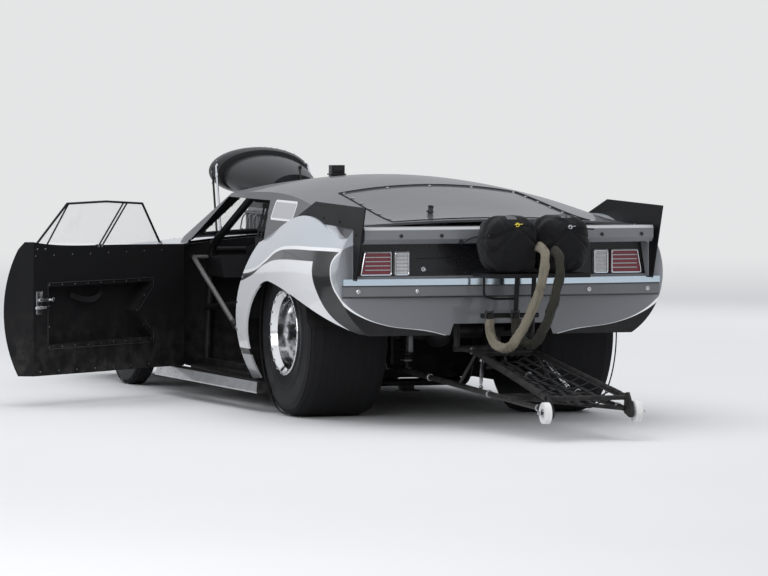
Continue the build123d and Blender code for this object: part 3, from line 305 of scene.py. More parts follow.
@dataclass
class NodeGroups:
    """Shader groups that several materials share."""

    palette: Palette = field(default_factory=Palette)
    axes: bpy.types.NodeTree = None
    livery: bpy.types.NodeTree = None
    grime: bpy.types.NodeTree = None
    grain: bpy.types.NodeTree = None

    def build(self) -> None:
        """Build every group once."""
        self.axes = self.make_axes()
        self.grime = self.make_grime()
        self.grain = self.make_grain()
        self.livery = self.make_livery()

    def make_axes(self) -> bpy.types.NodeTree:
        """Make the group that turns object places into the car's own axes.

        Returns:
            The group; its door angle turns an open door back to where it shuts.
        """
        tree, g, start, end = new_group(
            "car_axes",
            [("Place", "NodeSocketVector"), ("Facing", "NodeSocketVector"), ("Door angle", "NodeSocketFloat")],
            [("Place", "NodeSocketVector"), ("X", "NodeSocketFloat"), ("Side", "NodeSocketFloat"),
             ("Z", "NodeSocketFloat"), ("Outside", "NodeSocketFloat"), ("Skin", "NodeSocketFloat")])
        move = g.add("ShaderNodeVectorMath", operation="ADD")
        g.feed(move.inputs[0], start.outputs["Place"])
        move.inputs[1].default_value = (PAD_X, 0.0, RIDE)
        turn = g.add("ShaderNodeVectorRotate", rotation_type="Z_AXIS")
        g.feed(turn.inputs["Vector"], move.outputs[0])
        g.feed(turn.inputs["Center"], tuple(HINGE))
        g.feed(turn.inputs["Angle"], start.outputs["Door angle"])
        split = g.add("ShaderNodeSeparateXYZ")
        g.feed(split.inputs[0], turn.outputs[0])
        face = g.add("ShaderNodeVectorRotate", rotation_type="Z_AXIS")
        g.feed(face.inputs["Vector"], start.outputs["Facing"])
        g.feed(face.inputs["Angle"], start.outputs["Door angle"])
        normal = g.add("ShaderNodeSeparateXYZ")
        g.feed(normal.inputs[0], face.outputs[0])
        x, y, z = split.outputs
        across = g.math("MULTIPLY", y, normal.outputs[1])
        lift = g.math("MULTIPLY", g.math("SUBTRACT", z, 0.55), normal.outputs[2])
        along = g.math("MULTIPLY", g.math("SUBTRACT", x, 1.3), normal.outputs[0])
        total = g.math("ADD", g.math("ADD", across, lift), g.math("MULTIPLY", along, 0.30))
        g.feed(end.inputs["Place"], turn.outputs[0])
        g.feed(end.inputs["X"], x)
        g.feed(end.inputs["Side"], g.math("ABSOLUTE", y))
        g.feed(end.inputs["Z"], z)
        g.feed(end.inputs["Outside"], g.ramp(total, 0.0, 0.04))
        g.feed(end.inputs["Skin"], g.ramp(across, 0.22, 0.26))
        return tree

    def make_grime(self) -> bpy.types.NodeTree:
        """Make the group for road dust and rubber marks low on the car.

        Returns:
            The group, with a colour and a roughness out.
        """
        tree, g, start, end = new_group(
            "road_grime",
            [("Place", "NodeSocketVector"), ("Colour", "NodeSocketColor"), ("Roughness", "NodeSocketFloat"),
             ("Amount", "NodeSocketFloat")],
            [("Colour", "NodeSocketColor"), ("Roughness", "NodeSocketFloat")])
        split = g.add("ShaderNodeSeparateXYZ")
        g.feed(split.inputs[0], start.outputs["Place"])
        low = g.ramp(split.outputs[2], 0.62, 0.08)
        spots = g.noise(start.outputs["Place"], 14.0, 5.0, 0.62)
        cloud = g.noise(start.outputs["Place"], 2.3, 3.0)
        mask = g.math("MULTIPLY", low, g.ramp(spots, 0.35, 0.75))
        mask = g.math("ADD", mask, g.math("MULTIPLY", g.ramp(cloud, 0.45, 0.8), 0.12))
        mask = g.math("MULTIPLY", mask, start.outputs["Amount"], clamp=True)
        g.feed(end.inputs["Colour"], g.mix(mask, start.outputs["Colour"], (0.11, 0.10, 0.09)))
        rough = g.math("ADD", start.outputs["Roughness"], g.math("MULTIPLY", mask, 0.35), clamp=True)
        g.feed(end.inputs["Roughness"], rough)
        return tree

    def make_grain(self) -> bpy.types.NodeTree:
        """Make the group for fine variation of a surface.

        Returns:
            The group, with a value near 1 and a height out.
        """
        tree, g, start, end = new_group(
            "fine_grain",
            [("Place", "NodeSocketVector"), ("Scale", "NodeSocketFloat"), ("Amount", "NodeSocketFloat")],
            [("Value", "NodeSocketFloat"), ("Height", "NodeSocketFloat")])
        scaled = g.add("ShaderNodeVectorMath", operation="SCALE")
        g.feed(scaled.inputs[0], start.outputs["Place"])
        g.feed(scaled.inputs["Scale"], start.outputs["Scale"])
        fine = g.noise(scaled.outputs[0], 1.0, 6.0, 0.6)
        broad = g.noise(scaled.outputs[0], 0.07, 2.0)
        both = g.math("ADD", g.math("SUBTRACT", fine, 0.5), g.math("SUBTRACT", broad, 0.5))
        g.feed(end.inputs["Value"], g.math("ADD", 1.0, g.math("MULTIPLY", both, start.outputs["Amount"])))
        g.feed(end.inputs["Height"], fine)
        return tree

    def make_livery(self) -> bpy.types.NodeTree:
        """Make the group that paints the sides: silver above, a dark swoosh, white round the rear wheel, with painted
        light: a sky reflection on the swoosh's upper part, a shadow band low on the quarter and shade on the tail's
        rear face.

        Returns:
            The group, with the side's colour out.
        """
        p = self.palette
        tree, g, start, end = new_group(
            "livery", [("X", "NodeSocketFloat"), ("Side", "NodeSocketFloat"), ("Z", "NodeSocketFloat")],
            [("Colour", "NodeSocketColor"), ("Stripe", "NodeSocketFloat")])
        x, side, z = start.outputs["X"], start.outputs["Side"], start.outputs["Z"]
        # Columns: place along the car, height of the white line over the swoosh
        upper = g.curve(x, -1.2, 4.0, 0.4, 1.1, [
            (-1.2, 0.882), (-0.60, 0.879), (-0.20, 0.872), (-0.037, 0.857), (0.176, 0.794), (0.392, 0.738),
            (0.688, 0.713), (1.30, 0.700), (1.95, 0.690), (2.90, 0.655), (4.0, 0.600)])
        # Columns: place along the car, height of the swoosh's lower edge
        lower = g.curve(x, -1.2, 4.0, 0.4, 1.1, [
            (-1.2, 0.820), (-0.615, 0.817), (-0.038, 0.803), (0.176, 0.772), (0.426, 0.702), (0.714, 0.660),
            (1.30, 0.655), (1.95, 0.652), (2.90, 0.640), (4.0, 0.600)])
        # How far round the tail a place is: back along the side, then in across the tail
        wrap = g.math("SUBTRACT", g.math("SUBTRACT", 0.89, x), side)
        # Columns: height, how far round the tail the line is there
        tail_points = [(0.40, 1.70), (0.475, 1.46), (0.505, 1.24), (0.557, 1.09), (0.654, 0.96), (0.705, 0.902),
                       (0.764, 0.866), (0.824, 0.866), (0.879, 0.974), (1.10, 1.70)]
        tail = g.curve(z, 0.40, 1.10, 0.4, 1.8, tail_points)
        tail_up = g.curve(g.math("ADD", z, 0.01), 0.40, 1.10, 0.4, 1.8, tail_points)
        slope = g.math("MULTIPLY", g.math("SUBTRACT", tail_up, tail), 100.0)
        stretch = g.math("SQRT", g.math("ADD", 1.0, g.math("MULTIPLY", slope, slope)))
        behind = g.math("DIVIDE", g.math("SUBTRACT", wrap, tail), stretch)
        # Columns: height, how far back the white field round the wheel goes
        field_end = g.curve(z, 0.40, 1.10, 0.4, 1.8, [
            (0.40, 1.10), (0.432, 1.06), (0.544, 0.826), (0.662, 0.69), (0.754, 0.616), (0.817, 0.606), (1.10, 0.60)])
        edge = 0.0022
        above = g.math("SUBTRACT", z, upper)
        over_swoosh = g.ramp(above, -edge, edge)
        tail_field = g.ramp(behind, -edge, edge)
        under_swoosh = g.ramp(g.math("SUBTRACT", lower, z), -edge, edge)
        before_end = g.ramp(g.math("SUBTRACT", field_end, wrap), -edge, edge)
        white_field = g.math("MULTIPLY", under_swoosh, before_end)
        # Painted sky reflection: the swoosh turns grey above z 0.735 as if mirroring the sky, but stays black towards
        # the tail.
        swoosh_reflection_mask = g.math("MULTIPLY", g.ramp(z, 0.735, 0.80), g.ramp(wrap, 0.68, 0.55))
        colour = g.mix(swoosh_reflection_mask, p.black, p.swoosh)
        colour = g.mix(white_field, colour, p.white)
        # Painted shadow: a black band low on the quarter just behind the door, where a dark recess shows between the
        # white field and the grey foot.
        quarter = g.ramp(x, 0.60, 0.598)
        band = g.math("MULTIPLY", g.ramp(z, 0.326, 0.324), quarter)
        colour = g.mix(band, colour, p.black)
        foot = g.ramp(z, 0.294, 0.292)
        colour = g.mix(foot, colour, (0.37, 0.38, 0.40))
        colour = g.mix(over_swoosh, colour, p.silver)
        # Painted shade: across the tail the silver is dimmed on the flank and turns into the darker rear-face grey
        # round the corner, though the whole tail wears one silver paint.
        rear = g.mix(g.ramp(wrap, 0.88, 1.06), tuple(c * 0.86 for c in p.silver), p.tail_grey)
        colour = g.mix(tail_field, colour, rear)
        line_half = 0.0075
        upper_line = g.ramp(g.math("ABSOLUTE", above), line_half + edge, line_half)
        upper_line = g.math("MULTIPLY", upper_line, g.ramp(behind, 0.004, -0.004))
        tail_half = g.math("MULTIPLY", g.ramp(z, 0.50, 0.62), line_half * 0.75)
        tail_line = g.ramp(g.math("SUBTRACT", g.math("ABSOLUTE", behind), tail_half), edge, 0.0)
        tail_line = g.math("MULTIPLY", tail_line, g.ramp(z, 0.884, 0.876))
        line = g.math("MAXIMUM", upper_line, tail_line)
        g.feed(end.inputs["Colour"], g.mix(line, colour, p.stripe))
        g.feed(end.inputs["Stripe"], line)
        return tree


@dataclass(frozen=True)
class Finish:
    """A named material made of nodes.

    Attributes:
        name: The material's name.
        colour: Its base colour.
        roughness: How matt it is.
        metallic: 1 for bare metal.
        coat: Strength of a clear coat.
        grain_scale: How fine its variation is.
        grain: How strong its variation is.
        bump: Height of its grain, in metres.
        grime: How much road dust it has.
        shine: How strongly it mirrors; 0.5 is plain.
    """

    name: str
    colour: Colour
    roughness: float = 0.5
    metallic: float = 0.0
    coat: float = 0.0
    grain_scale: float = 120.0
    grain: float = 0.25
    bump: float = 0.0
    grime: float = 0.3
    shine: float = 0.5

    def make(self, groups: NodeGroups) -> bpy.types.Material:
        """Build the material.

        Args:
            groups: The shared shader groups.

        Returns:
            The new material.
        """
        material, g, shader, place = start_material(self.name)
        grain = g.add("ShaderNodeGroup", node_tree=groups.grain)
        g.feed(grain.inputs["Place"], place)
        grain.inputs["Scale"].default_value = self.grain_scale
        grain.inputs["Amount"].default_value = self.grain
        scale = g.add("ShaderNodeVectorMath", operation="SCALE")
        g.feed(scale.inputs[0], self.colour)
        g.feed(scale.inputs["Scale"], grain.outputs["Value"])
        rough = g.math("MULTIPLY", self.roughness, grain.outputs["Value"], clamp=True)
        dust = g.add("ShaderNodeGroup", node_tree=groups.grime)
        g.feed(dust.inputs["Place"], place)
        g.feed(dust.inputs["Colour"], scale.outputs[0])
        g.feed(dust.inputs["Roughness"], rough)
        dust.inputs["Amount"].default_value = self.grime
        g.feed(shader.inputs["Base Color"], dust.outputs["Colour"])
        g.feed(shader.inputs["Roughness"], dust.outputs["Roughness"])
        shader.inputs["Metallic"].default_value = self.metallic
        shader.inputs["Coat Weight"].default_value = self.coat
        shader.inputs["Coat Roughness"].default_value = 0.06
        shader.inputs["Specular IOR Level"].default_value = self.shine
        if self.bump:
            g.feed(shader.inputs["Normal"], g.bump(grain.outputs["Height"], 1.0, self.bump))
        return material


@dataclass(frozen=True)
class Woven:
    """A woven cloth: crossing yarns, soft wrinkles and a little dust.

    Attributes:
        name: The material's name.
        colour: The yarn's colour.
        worn: Colour of its worn and stained places.
        pitch: Distance between yarns, in metres.
        roughness: How matt it is.
        wear: How much of it is stained.
        wrinkle: Height of its wrinkles, in metres.
    """

    name: str
    colour: Colour
    worn: Colour
    pitch: float = 0.0016
    roughness: float = 0.85
    wear: float = 0.3
    wrinkle: float = 0.002

    def make(self, groups: NodeGroups) -> bpy.types.Material:
        """Build the material.

        Args:
            groups: The shared shader groups.

        Returns:
            The new material.
        """
        material, g, shader, place = start_material(self.name)
        split = g.add("ShaderNodeSeparateXYZ")
        g.feed(split.inputs[0], place)
        turn = 2 * math.pi / self.pitch
        yarns = [g.math("SINE", g.math("MULTIPLY", g.math("ADD", split.outputs[a], split.outputs[b]), turn))
                 for a, b in ((0, 2), (1, 2))]
        weave = g.math("MULTIPLY", yarns[0], yarns[1])
        weave = g.math("ADD", 0.5, g.math("MULTIPLY", weave, 0.5))
        stains = g.ramp(g.noise(place, 9.0, 5.0, 0.65), 0.48, 0.80)
        colour = g.mix(g.math("MULTIPLY", stains, self.wear), self.colour, self.worn)
        dark = g.mix(g.math("MULTIPLY", weave, 0.35), colour, tuple(c * 0.45 for c in self.colour))
        g.feed(shader.inputs["Base Color"], dark)
        shader.inputs["Roughness"].default_value = self.roughness
        shader.inputs["Specular IOR Level"].default_value = 0.12
        shader.inputs["Sheen Weight"].default_value = 0.06
        creases = g.noise(place, 38.0, 4.0, 0.6)
        height = g.math("ADD", g.math("MULTIPLY", creases, 1.0), g.math("MULTIPLY", weave, 0.12))
        g.feed(shader.inputs["Normal"], g.bump(height, 0.8, self.wrinkle))
        return material


@dataclass(frozen=True)
class CarbonWeave:
    """Twill carbon laminate under a clear coat.

    Attributes:
        name: The material's name.
        base: Colour of the darker tows.
        light: Colour of the tows that face the light.
        pitch: Width of a tow, in metres.
        roughness: How matt it is.
        coat: Strength of the clear coat.
        shine: How strongly it mirrors; 0.5 is plain.
    """

    name: str
    base: Colour = (0.006, 0.006, 0.007)
    light: Colour = (0.020, 0.020, 0.022)
    pitch: float = 0.006
    roughness: float = 0.42
    coat: float = 0.20
    shine: float = 0.24

    def make(self, groups: NodeGroups) -> bpy.types.Material:
        """Build the material.

        Args:
            groups: The shared shader groups.

        Returns:
            The new material.
        """
        material, g, shader, place = start_material(self.name)
        split = g.add("ShaderNodeSeparateXYZ")
        g.feed(split.inputs[0], place)
        turn = math.pi / self.pitch
        first = g.math("SINE", g.math("MULTIPLY", g.math("ADD", split.outputs[0], split.outputs[2]), turn))
        second = g.math("SINE", g.math("MULTIPLY", g.math("SUBTRACT", split.outputs[1], split.outputs[2]), turn))
        twill = g.ramp(g.math("ADD", first, second), -0.25, 0.25)
        smear = g.noise(place, 3.0, 4.0)
        dust = g.add("ShaderNodeGroup", node_tree=groups.grime)
        g.feed(dust.inputs["Place"], place)
        g.feed(dust.inputs["Colour"], g.mix(twill, self.base, self.light))
        g.feed(dust.inputs["Roughness"], g.math("ADD", self.roughness - 0.06, g.math("MULTIPLY", smear, 0.14)))
        dust.inputs["Amount"].default_value = 0.25
        g.feed(shader.inputs["Base Color"], dust.outputs["Colour"])
        g.feed(shader.inputs["Roughness"], dust.outputs["Roughness"])
        shader.inputs["Specular IOR Level"].default_value = self.shine
        shader.inputs["Coat Weight"].default_value = self.coat
        shader.inputs["Coat Roughness"].default_value = 0.08
        return material


@dataclass(frozen=True)
class SlickRubber:
    """Tyre rubber: scuffed tread with marbles stuck to it, smoother dusty sidewalls.

    Attributes:
        name: The material's name.
        tread: Colour of the tread.
        wall: Colour of the sidewall.
        axle: Place of the wheel's centre along the car and up, in the row frame.
        shoulder: Radius where the tread starts.
    """

    name: str
    axle: tuple[float, float]
    shoulder: float
    tread: Colour = (0.010, 0.010, 0.011)
    wall: Colour = (0.009, 0.009, 0.010)

    def make(self, groups: NodeGroups) -> bpy.types.Material:
        """Build the material.

        Args:
            groups: The shared shader groups.

        Returns:
            The new material.
        """
        material, g, shader, place = start_material(self.name)
        split = g.add("ShaderNodeSeparateXYZ")
        g.feed(split.inputs[0], place)
        dx = g.math("SUBTRACT", split.outputs[0], self.axle[0])
        dz = g.math("SUBTRACT", split.outputs[2], self.axle[1])
        radius = g.math("SQRT", g.math("ADD", g.math("MULTIPLY", dx, dx), g.math("MULTIPLY", dz, dz)))
        on_tread = g.ramp(radius, self.shoulder - 0.012, self.shoulder)
        angle = g.math("ARCTAN2", dz, dx)
        round_place = g.add("ShaderNodeCombineXYZ")
        g.feed(round_place.inputs[0], g.math("MULTIPLY", angle, 2.0))
        g.feed(round_place.inputs[1], g.math("MULTIPLY", split.outputs[1], 90.0))
        g.feed(round_place.inputs[2], g.math("MULTIPLY", radius, 6.0))
        streaks = g.noise(round_place.outputs[0], 1.0, 4.0, 0.55)
        lumps = g.noise(place, 150.0, 4.0, 0.7)
        dust = g.ramp(g.noise(place, 7.0, 4.0), 0.45, 0.75)
        tread = g.mix(g.ramp(streaks, 0.30, 0.80), self.tread, tuple(c * 1.35 for c in self.tread))
        wall = g.mix(g.math("MULTIPLY", dust, 0.5), self.wall, tuple(c * 3.0 for c in self.wall))
        g.feed(shader.inputs["Base Color"], g.mix(on_tread, wall, tread))
        g.feed(shader.inputs["Roughness"], g.math("ADD", 0.56, g.math("MULTIPLY", on_tread, 0.30)))
        height = g.math("ADD", g.math("MULTIPLY", lumps, g.math("MULTIPLY", on_tread, 1.0)),
                        g.math("MULTIPLY", streaks, 0.10))
        shader.inputs["Specular IOR Level"].default_value = 0.22
        g.feed(shader.inputs["Normal"], g.bump(height, 0.6, 0.0012))
        return material


def start_material(name: str) -> tuple[bpy.types.Material, Graph, bpy.types.Node, bpy.types.NodeSocket]:
    """Start a material with a plain shader.

    Args:
        name: The material's name.

    Returns:
        The material, a graph on it, its shader and its object place socket.
    """
    material = bpy.data.materials.new(name)
    material.use_nodes = True
    g = Graph(material.node_tree)
    shader = material.node_tree.nodes["Principled BSDF"]
    place = g.add("ShaderNodeTexCoord").outputs["Object"]
    return material, g, shader, place


class Coat(Enum):
    """Which colours a painted panel wears."""

    SIDE = "side"
    ROOF = "roof"
    DECK_LIP = "deck_lip"


@dataclass(frozen=True)
class PanelPaint:
    """Gloss paint of the body's panels, black inside them.

    Attributes:
        name: The material's name.
        coat: Which colours it wears.
        door_angle: How far the panel stands open, in radians.
        edge_dark: Whether its edges are black like its inside.
    """

    name: str
    coat: Coat = Coat.SIDE
    door_angle: float = 0.0
    edge_dark: bool = False

    def make(self, groups: NodeGroups) -> bpy.types.Material:
        """Build the material.

        Args:
            groups: The shared shader groups.

        Returns:
            The new material.
        """
        material, g, shader, place = start_material(self.name)
        p = groups.palette
        axes = g.add("ShaderNodeGroup", node_tree=groups.axes)
        g.feed(axes.inputs["Place"], place)
        g.feed(axes.inputs["Facing"], g.add("ShaderNodeTexCoord").outputs["Normal"])
        axes.inputs["Door angle"].default_value = self.door_angle
        if self.coat is Coat.SIDE:
            livery = g.add("ShaderNodeGroup", node_tree=groups.livery)
            for label in ("X", "Side", "Z"):
                g.feed(livery.inputs[label], axes.outputs[label])
            colour = livery.outputs["Colour"]
        elif self.coat is Coat.ROOF:
            colour = self.roof_colour(g, axes, p)
        else:
            # Painted shade: the lip's rear face wears the tail's darker shade grey, under its lighter top edge.
            colour = g.mix(g.ramp(axes.outputs["Z"], 0.985, 0.987), p.tail_grey, p.lip_top)
        outside = axes.outputs["Skin" if self.edge_dark else "Outside"]
        colour = g.mix(outside, p.inside, colour)
        cloud = g.noise(axes.outputs["Place"], 3.1, 2.0)
        rough = g.math("ADD", 0.30, g.math("MULTIPLY", cloud, 0.10))
        dust = g.add("ShaderNodeGroup", node_tree=groups.grime)
        g.feed(dust.inputs["Place"], axes.outputs["Place"])
        g.feed(dust.inputs["Colour"], colour)
        g.feed(dust.inputs["Roughness"], rough)
        dust.inputs["Amount"].default_value = 0.35
        g.feed(shader.inputs["Base Color"], dust.outputs["Colour"])
        g.feed(shader.inputs["Roughness"], dust.outputs["Roughness"])
        gloss = 0.5 if self.coat is Coat.ROOF else 0.85
        grey = g.add("ShaderNodeRGBToBW")
        g.feed(grey.inputs[0], colour)
        gloss = g.math("MULTIPLY", outside, g.math("ADD", gloss * 0.35, g.math("MULTIPLY", g.ramp(grey.outputs[0], 0.0, 0.12), gloss * 0.65)))
        g.feed(shader.inputs["Coat Weight"], gloss)
        g.feed(shader.inputs["Specular IOR Level"], g.math("ADD", 0.08, g.math("MULTIPLY", gloss, 0.4)))
        shader.inputs["Coat Roughness"].default_value = 0.05
        return material

    def roof_colour(self, g: Graph, axes: bpy.types.Node, p: Palette) -> bpy.types.NodeSocket:
        """Lay the roof's dark metallic colour, with one plain pale label on the left sail.

        Args:
            g: The material's graph.
            axes: The node that gives the car's axes.
            p: The palette.

        Returns:
            The colour's socket.
        """
        flake = g.noise(axes.outputs["Place"], 900.0, 1.0)
        colour = g.mix(g.ramp(flake, 0.3, 0.8), p.gunmetal, tuple(c * 1.35 for c in p.gunmetal))
        label_middle, label_half, corner, border = (0.455, 1.038), (0.190, 0.052), 0.022, 0.011
        split = g.add("ShaderNodeSeparateXYZ")
        g.feed(split.inputs[0], axes.outputs["Place"])
        over = [g.math("MAXIMUM", g.math("SUBTRACT", g.math("ABSOLUTE", g.math("SUBTRACT", split.outputs[axis], middle)),
                                         half - corner), 0.0)
                for axis, middle, half in zip((0, 2), label_middle, label_half)]
        reach = g.math("SQRT", g.math("ADD", g.math("MULTIPLY", over[0], over[0]), g.math("MULTIPLY", over[1], over[1])))
        label = g.math("MULTIPLY", g.ramp(reach, corner + 0.001, corner - 0.001), g.ramp(split.outputs[1], 0.40, 0.42))
        frame = g.ramp(reach, corner - border - 0.001, corner - border + 0.001)
        return g.mix(label, colour, g.mix(frame, (0.42, 0.43, 0.45), p.white))


@dataclass(frozen=True)
class LampFace:
    """Coloured lens behind bright bars and a bright rim, told apart by depth and place across.

    Attributes:
        name: The material's name.
        lens_x: The lens lies ahead of this place along the car.
        split_y: Lenses nearer the middle than this are clear.
    """

    name: str
    lens_x: float = -0.9525
    split_y: float = 0.578

    def make(self, groups: NodeGroups) -> bpy.types.Material:
        """Build the material.

        Args:
            groups: The shared shader groups.

        Returns:
            The new material.
        """
        material, g, shader, place = start_material(self.name)
        split = g.add("ShaderNodeSeparateXYZ")
        g.feed(split.inputs[0], place)
        edge = self.lens_x - PAD_X
        lens = g.ramp(split.outputs[0], edge - 0.0006, edge + 0.0006)
        red = g.ramp(g.math("ABSOLUTE", split.outputs[1]), self.split_y - 0.002, self.split_y + 0.002)
        flutes = g.math("SINE", g.math("MULTIPLY", split.outputs[1], 900.0))
        deep = g.mix(g.ramp(flutes, -1.0, 1.0), (0.13, 0.004, 0.014), (0.21, 0.008, 0.026))
        clear = g.mix(g.ramp(flutes, -1.0, 1.0), (0.42, 0.43, 0.44), (0.66, 0.68, 0.69))
        colour = g.mix(lens, (0.42, 0.40, 0.41), g.mix(red, clear, deep))
        g.feed(shader.inputs["Base Color"], colour)
        g.feed(shader.inputs["Metallic"], g.math("SUBTRACT", 1.0, lens))
        g.feed(shader.inputs["Roughness"], g.math("ADD", 0.16, g.math("MULTIPLY", lens, 0.06)))
        shader.inputs["Coat Weight"].default_value = 0.6
        g.feed(shader.inputs["Normal"], g.bump(flutes, 0.3, 0.0006))
        return material


@dataclass(frozen=True)
class BumperFace:
    """Bright blade above a satin band, with painted shadow lines under the blade and along the band's foot, and a blue
    tint on the blade that is a painted sky reflection.

    Attributes:
        name: The material's name.
        edge_z: Height where the band ends and the blade starts.
    """

    name: str
    edge_z: float = 0.7085

    def make(self, groups: NodeGroups) -> bpy.types.Material:
        """Build the material.

        Args:
            groups: The shared shader groups.

        Returns:
            The new material.
        """
        material, g, shader, place = start_material(self.name)
        split = g.add("ShaderNodeSeparateXYZ")
        g.feed(split.inputs[0], place)
        edge = self.edge_z - RIDE
        blade = g.ramp(split.outputs[2], edge - 0.0005, edge + 0.0005)
        cloud = g.noise(place, 5.0, 3.0)
        band = g.mix(cloud, (0.125, 0.13, 0.14), (0.17, 0.175, 0.185))
        height = g.math("SUBTRACT", split.outputs[2], edge)
        # Painted shadow: dark lines just under the blade and along the band's lower edge.
        rim = g.math("MAXIMUM", g.ramp(height, -0.010, -0.004), g.ramp(height, -0.052, -0.060))
        band = g.mix(rim, band, (0.030, 0.031, 0.034))
        # The blade's blue-white colour is a painted sky reflection on its chrome.
        g.feed(shader.inputs["Base Color"], g.mix(blade, band, (0.68, 0.80, 0.90)))
        g.feed(shader.inputs["Metallic"], g.math("ADD", 0.35, g.math("MULTIPLY", blade, 0.65)))
        g.feed(shader.inputs["Roughness"], g.math("SUBTRACT", 0.38, g.math("MULTIPLY", blade, 0.26)))
        shader.inputs["Coat Weight"].default_value = 0.4
        return material


def glass_material(name: str, tint: Colour, alpha: float) -> bpy.types.Material:
    """Make clear sheet for a window.

    Args:
        name: The material's name.
        tint: Its colour.
        alpha: How much of it is seen.

    Returns:
        The new material.
    """
    material, g, shader, place = start_material(name)
    smear = g.noise(place, 6.0, 4.0)
    shader.inputs["Base Color"].default_value = (*tint, 1.0)
    g.feed(shader.inputs["Roughness"], g.math("ADD", 0.04, g.math("MULTIPLY", smear, 0.10)))
    g.feed(shader.inputs["Alpha"], g.math("ADD", alpha, g.math("MULTIPLY", g.ramp(smear, 0.5, 0.9), 0.06)))
    material.surface_render_method = "DITHERED"
    return material


def make_finishes(groups: NodeGroups) -> dict[str, bpy.types.Material]:
    """Build every finish once.

    Args:
        groups: The shared shader groups.

    Returns:
        Materials by name.
    """
    rear_axle, front_axle = (-PAD_X, 0.430 - RIDE), (2.921 - PAD_X, 0.330 - RIDE)
    finishes = [
        PanelPaint("side_paint"), PanelPaint("open_door_paint", door_angle=DOOR_OPEN, edge_dark=True),
        PanelPaint("shut_door_paint", edge_dark=True),
        PanelPaint("roof_paint", Coat.ROOF), PanelPaint("lip_paint", Coat.DECK_LIP),
        CarbonWeave("carbon"), CarbonWeave("plate_black", (0.004, 0.004, 0.005), (0.007, 0.007, 0.008), roughness=0.40, coat=0.0, shine=0.14),
        LampFace("lamp_face"), BumperFace("bumper_face"),
        SlickRubber("slick_rubber", rear_axle, 0.402), SlickRubber("front_rubber", front_axle, 0.312),
        Finish("black_tube", (0.009, 0.009, 0.010), 0.40, shine=0.20),
        Finish("door_tin", (0.016, 0.016, 0.018), 0.46, bump=0.0002, shine=0.30),
        Finish("tail_black", (0.011, 0.011, 0.013), 0.26, coat=0.15, shine=0.35),
        Finish("black_tin", (0.010, 0.010, 0.011), 0.52, bump=0.0002, shine=0.15),
        Finish("polished_rim", (0.88, 0.88, 0.89), 0.09, metallic=1.0, grain=0.10, grime=0.10),
        Finish("axle_steel", (0.050, 0.050, 0.054), 0.42, metallic=0.6, shine=0.3),
        Finish("header_steel", (0.16, 0.14, 0.13), 0.38, metallic=0.9, grain_scale=30.0, grain=0.5),
        Finish("cast_alloy", (0.34, 0.34, 0.35), 0.42, metallic=0.9, bump=0.0003),
        Finish("bright_alloy", (0.66, 0.66, 0.67), 0.24, metallic=1.0, grain=0.15, grime=0.15),
        Finish("bolt_steel", (0.50, 0.50, 0.51), 0.26, metallic=1.0, grain=0.15, grime=0.2),
        Finish("black_bolt", (0.010, 0.010, 0.011), 0.35, shine=0.35),
        Finish("shock_body", (0.20, 0.20, 0.205), 0.36, metallic=0.9),
        Finish("disc_iron", (0.26, 0.25, 0.25), 0.34, metallic=1.0, grain_scale=400.0),
        Finish("chrome", (0.74, 0.76, 0.79), 0.10, metallic=1.0, grain=0.08, grime=0.08),
        Finish("roller_white", (0.74, 0.74, 0.73), 0.48, grain=0.12),
        Finish("red_enamel", (0.42, 0.012, 0.010), 0.28, coat=0.6),
        Finish("ring_yellow", (0.78, 0.62, 0.05), 0.35),
        Finish("dial_white", (0.72, 0.72, 0.70), 0.40, grain=0.05),
        Finish("foam_black", (0.010, 0.010, 0.011), 0.92, bump=0.0008, grain_scale=260.0, shine=0.1),
        Finish("belt_rubber", (0.012, 0.012, 0.013), 0.70, bump=0.0003, shine=0.2),
        Finish("tape", (0.010, 0.010, 0.011), 0.60, bump=0.0004, shine=0.2),
        Finish("bar_steel", (0.24, 0.23, 0.23), 0.42, metallic=0.6, shine=0.3),
        Finish("braided_hose", (0.22, 0.22, 0.23), 0.40, metallic=0.8, grain_scale=900.0, grain=0.6, bump=0.0004),
        Woven("seat_cloth", (0.016, 0.016, 0.018), (0.03, 0.03, 0.03), 0.0022, wear=0.2),
        Woven("pack_nylon", (0.0075, 0.0075, 0.0085), (0.020, 0.020, 0.021), 0.0014, 0.62, 0.25, 0.0022),
        Woven("webbing", (0.009, 0.009, 0.010), (0.024, 0.024, 0.024), 0.0030, 0.75, 0.3, 0.001),
        Woven("grey_webbing", (0.12, 0.12, 0.125), (0.05, 0.05, 0.05), 0.0026, 0.75, 0.4, 0.001),
        Woven("harness_red", (0.30, 0.010, 0.012), (0.12, 0.02, 0.02), 0.0026, 0.70, 0.2, 0.0008),
        Woven("pale_webbing", (0.24, 0.215, 0.165), (0.045, 0.040, 0.031), 0.0050, 0.90, 0.95, 0.014),
        # Painted shade: the right tether's sleeve is the same tan webbing as the left one, made darker because it hangs
        # in shade.
        Woven("olive_webbing", (0.045, 0.043, 0.034), (0.014, 0.014, 0.012), 0.0050, 0.90, 0.7, 0.012),
    ]
    made = {finish.name: finish.make(groups) for finish in finishes}
    made["clear_sheet"] = glass_material("clear_sheet", (0.75, 0.80, 0.82), 0.10)
    made["lamp_glass"] = glass_material("lamp_glass", (0.80, 0.82, 0.83), 0.16)
    return made


def deselect_all() -> None:
    """Leave nothing selected, so that the next operator acts only on what it adds."""
    if bpy.context.object and bpy.context.object.mode != "OBJECT":
        bpy.ops.object.mode_set(mode="OBJECT")
    bpy.ops.object.select_all(action="DESELECT")


def select_only(*pieces: bpy.types.Object) -> None:
    """Select some pieces and nothing else, with the first one active."""
    deselect_all()
    for piece in pieces:
        piece.select_set(True)
    bpy.context.view_layer.objects.active = pieces[0]


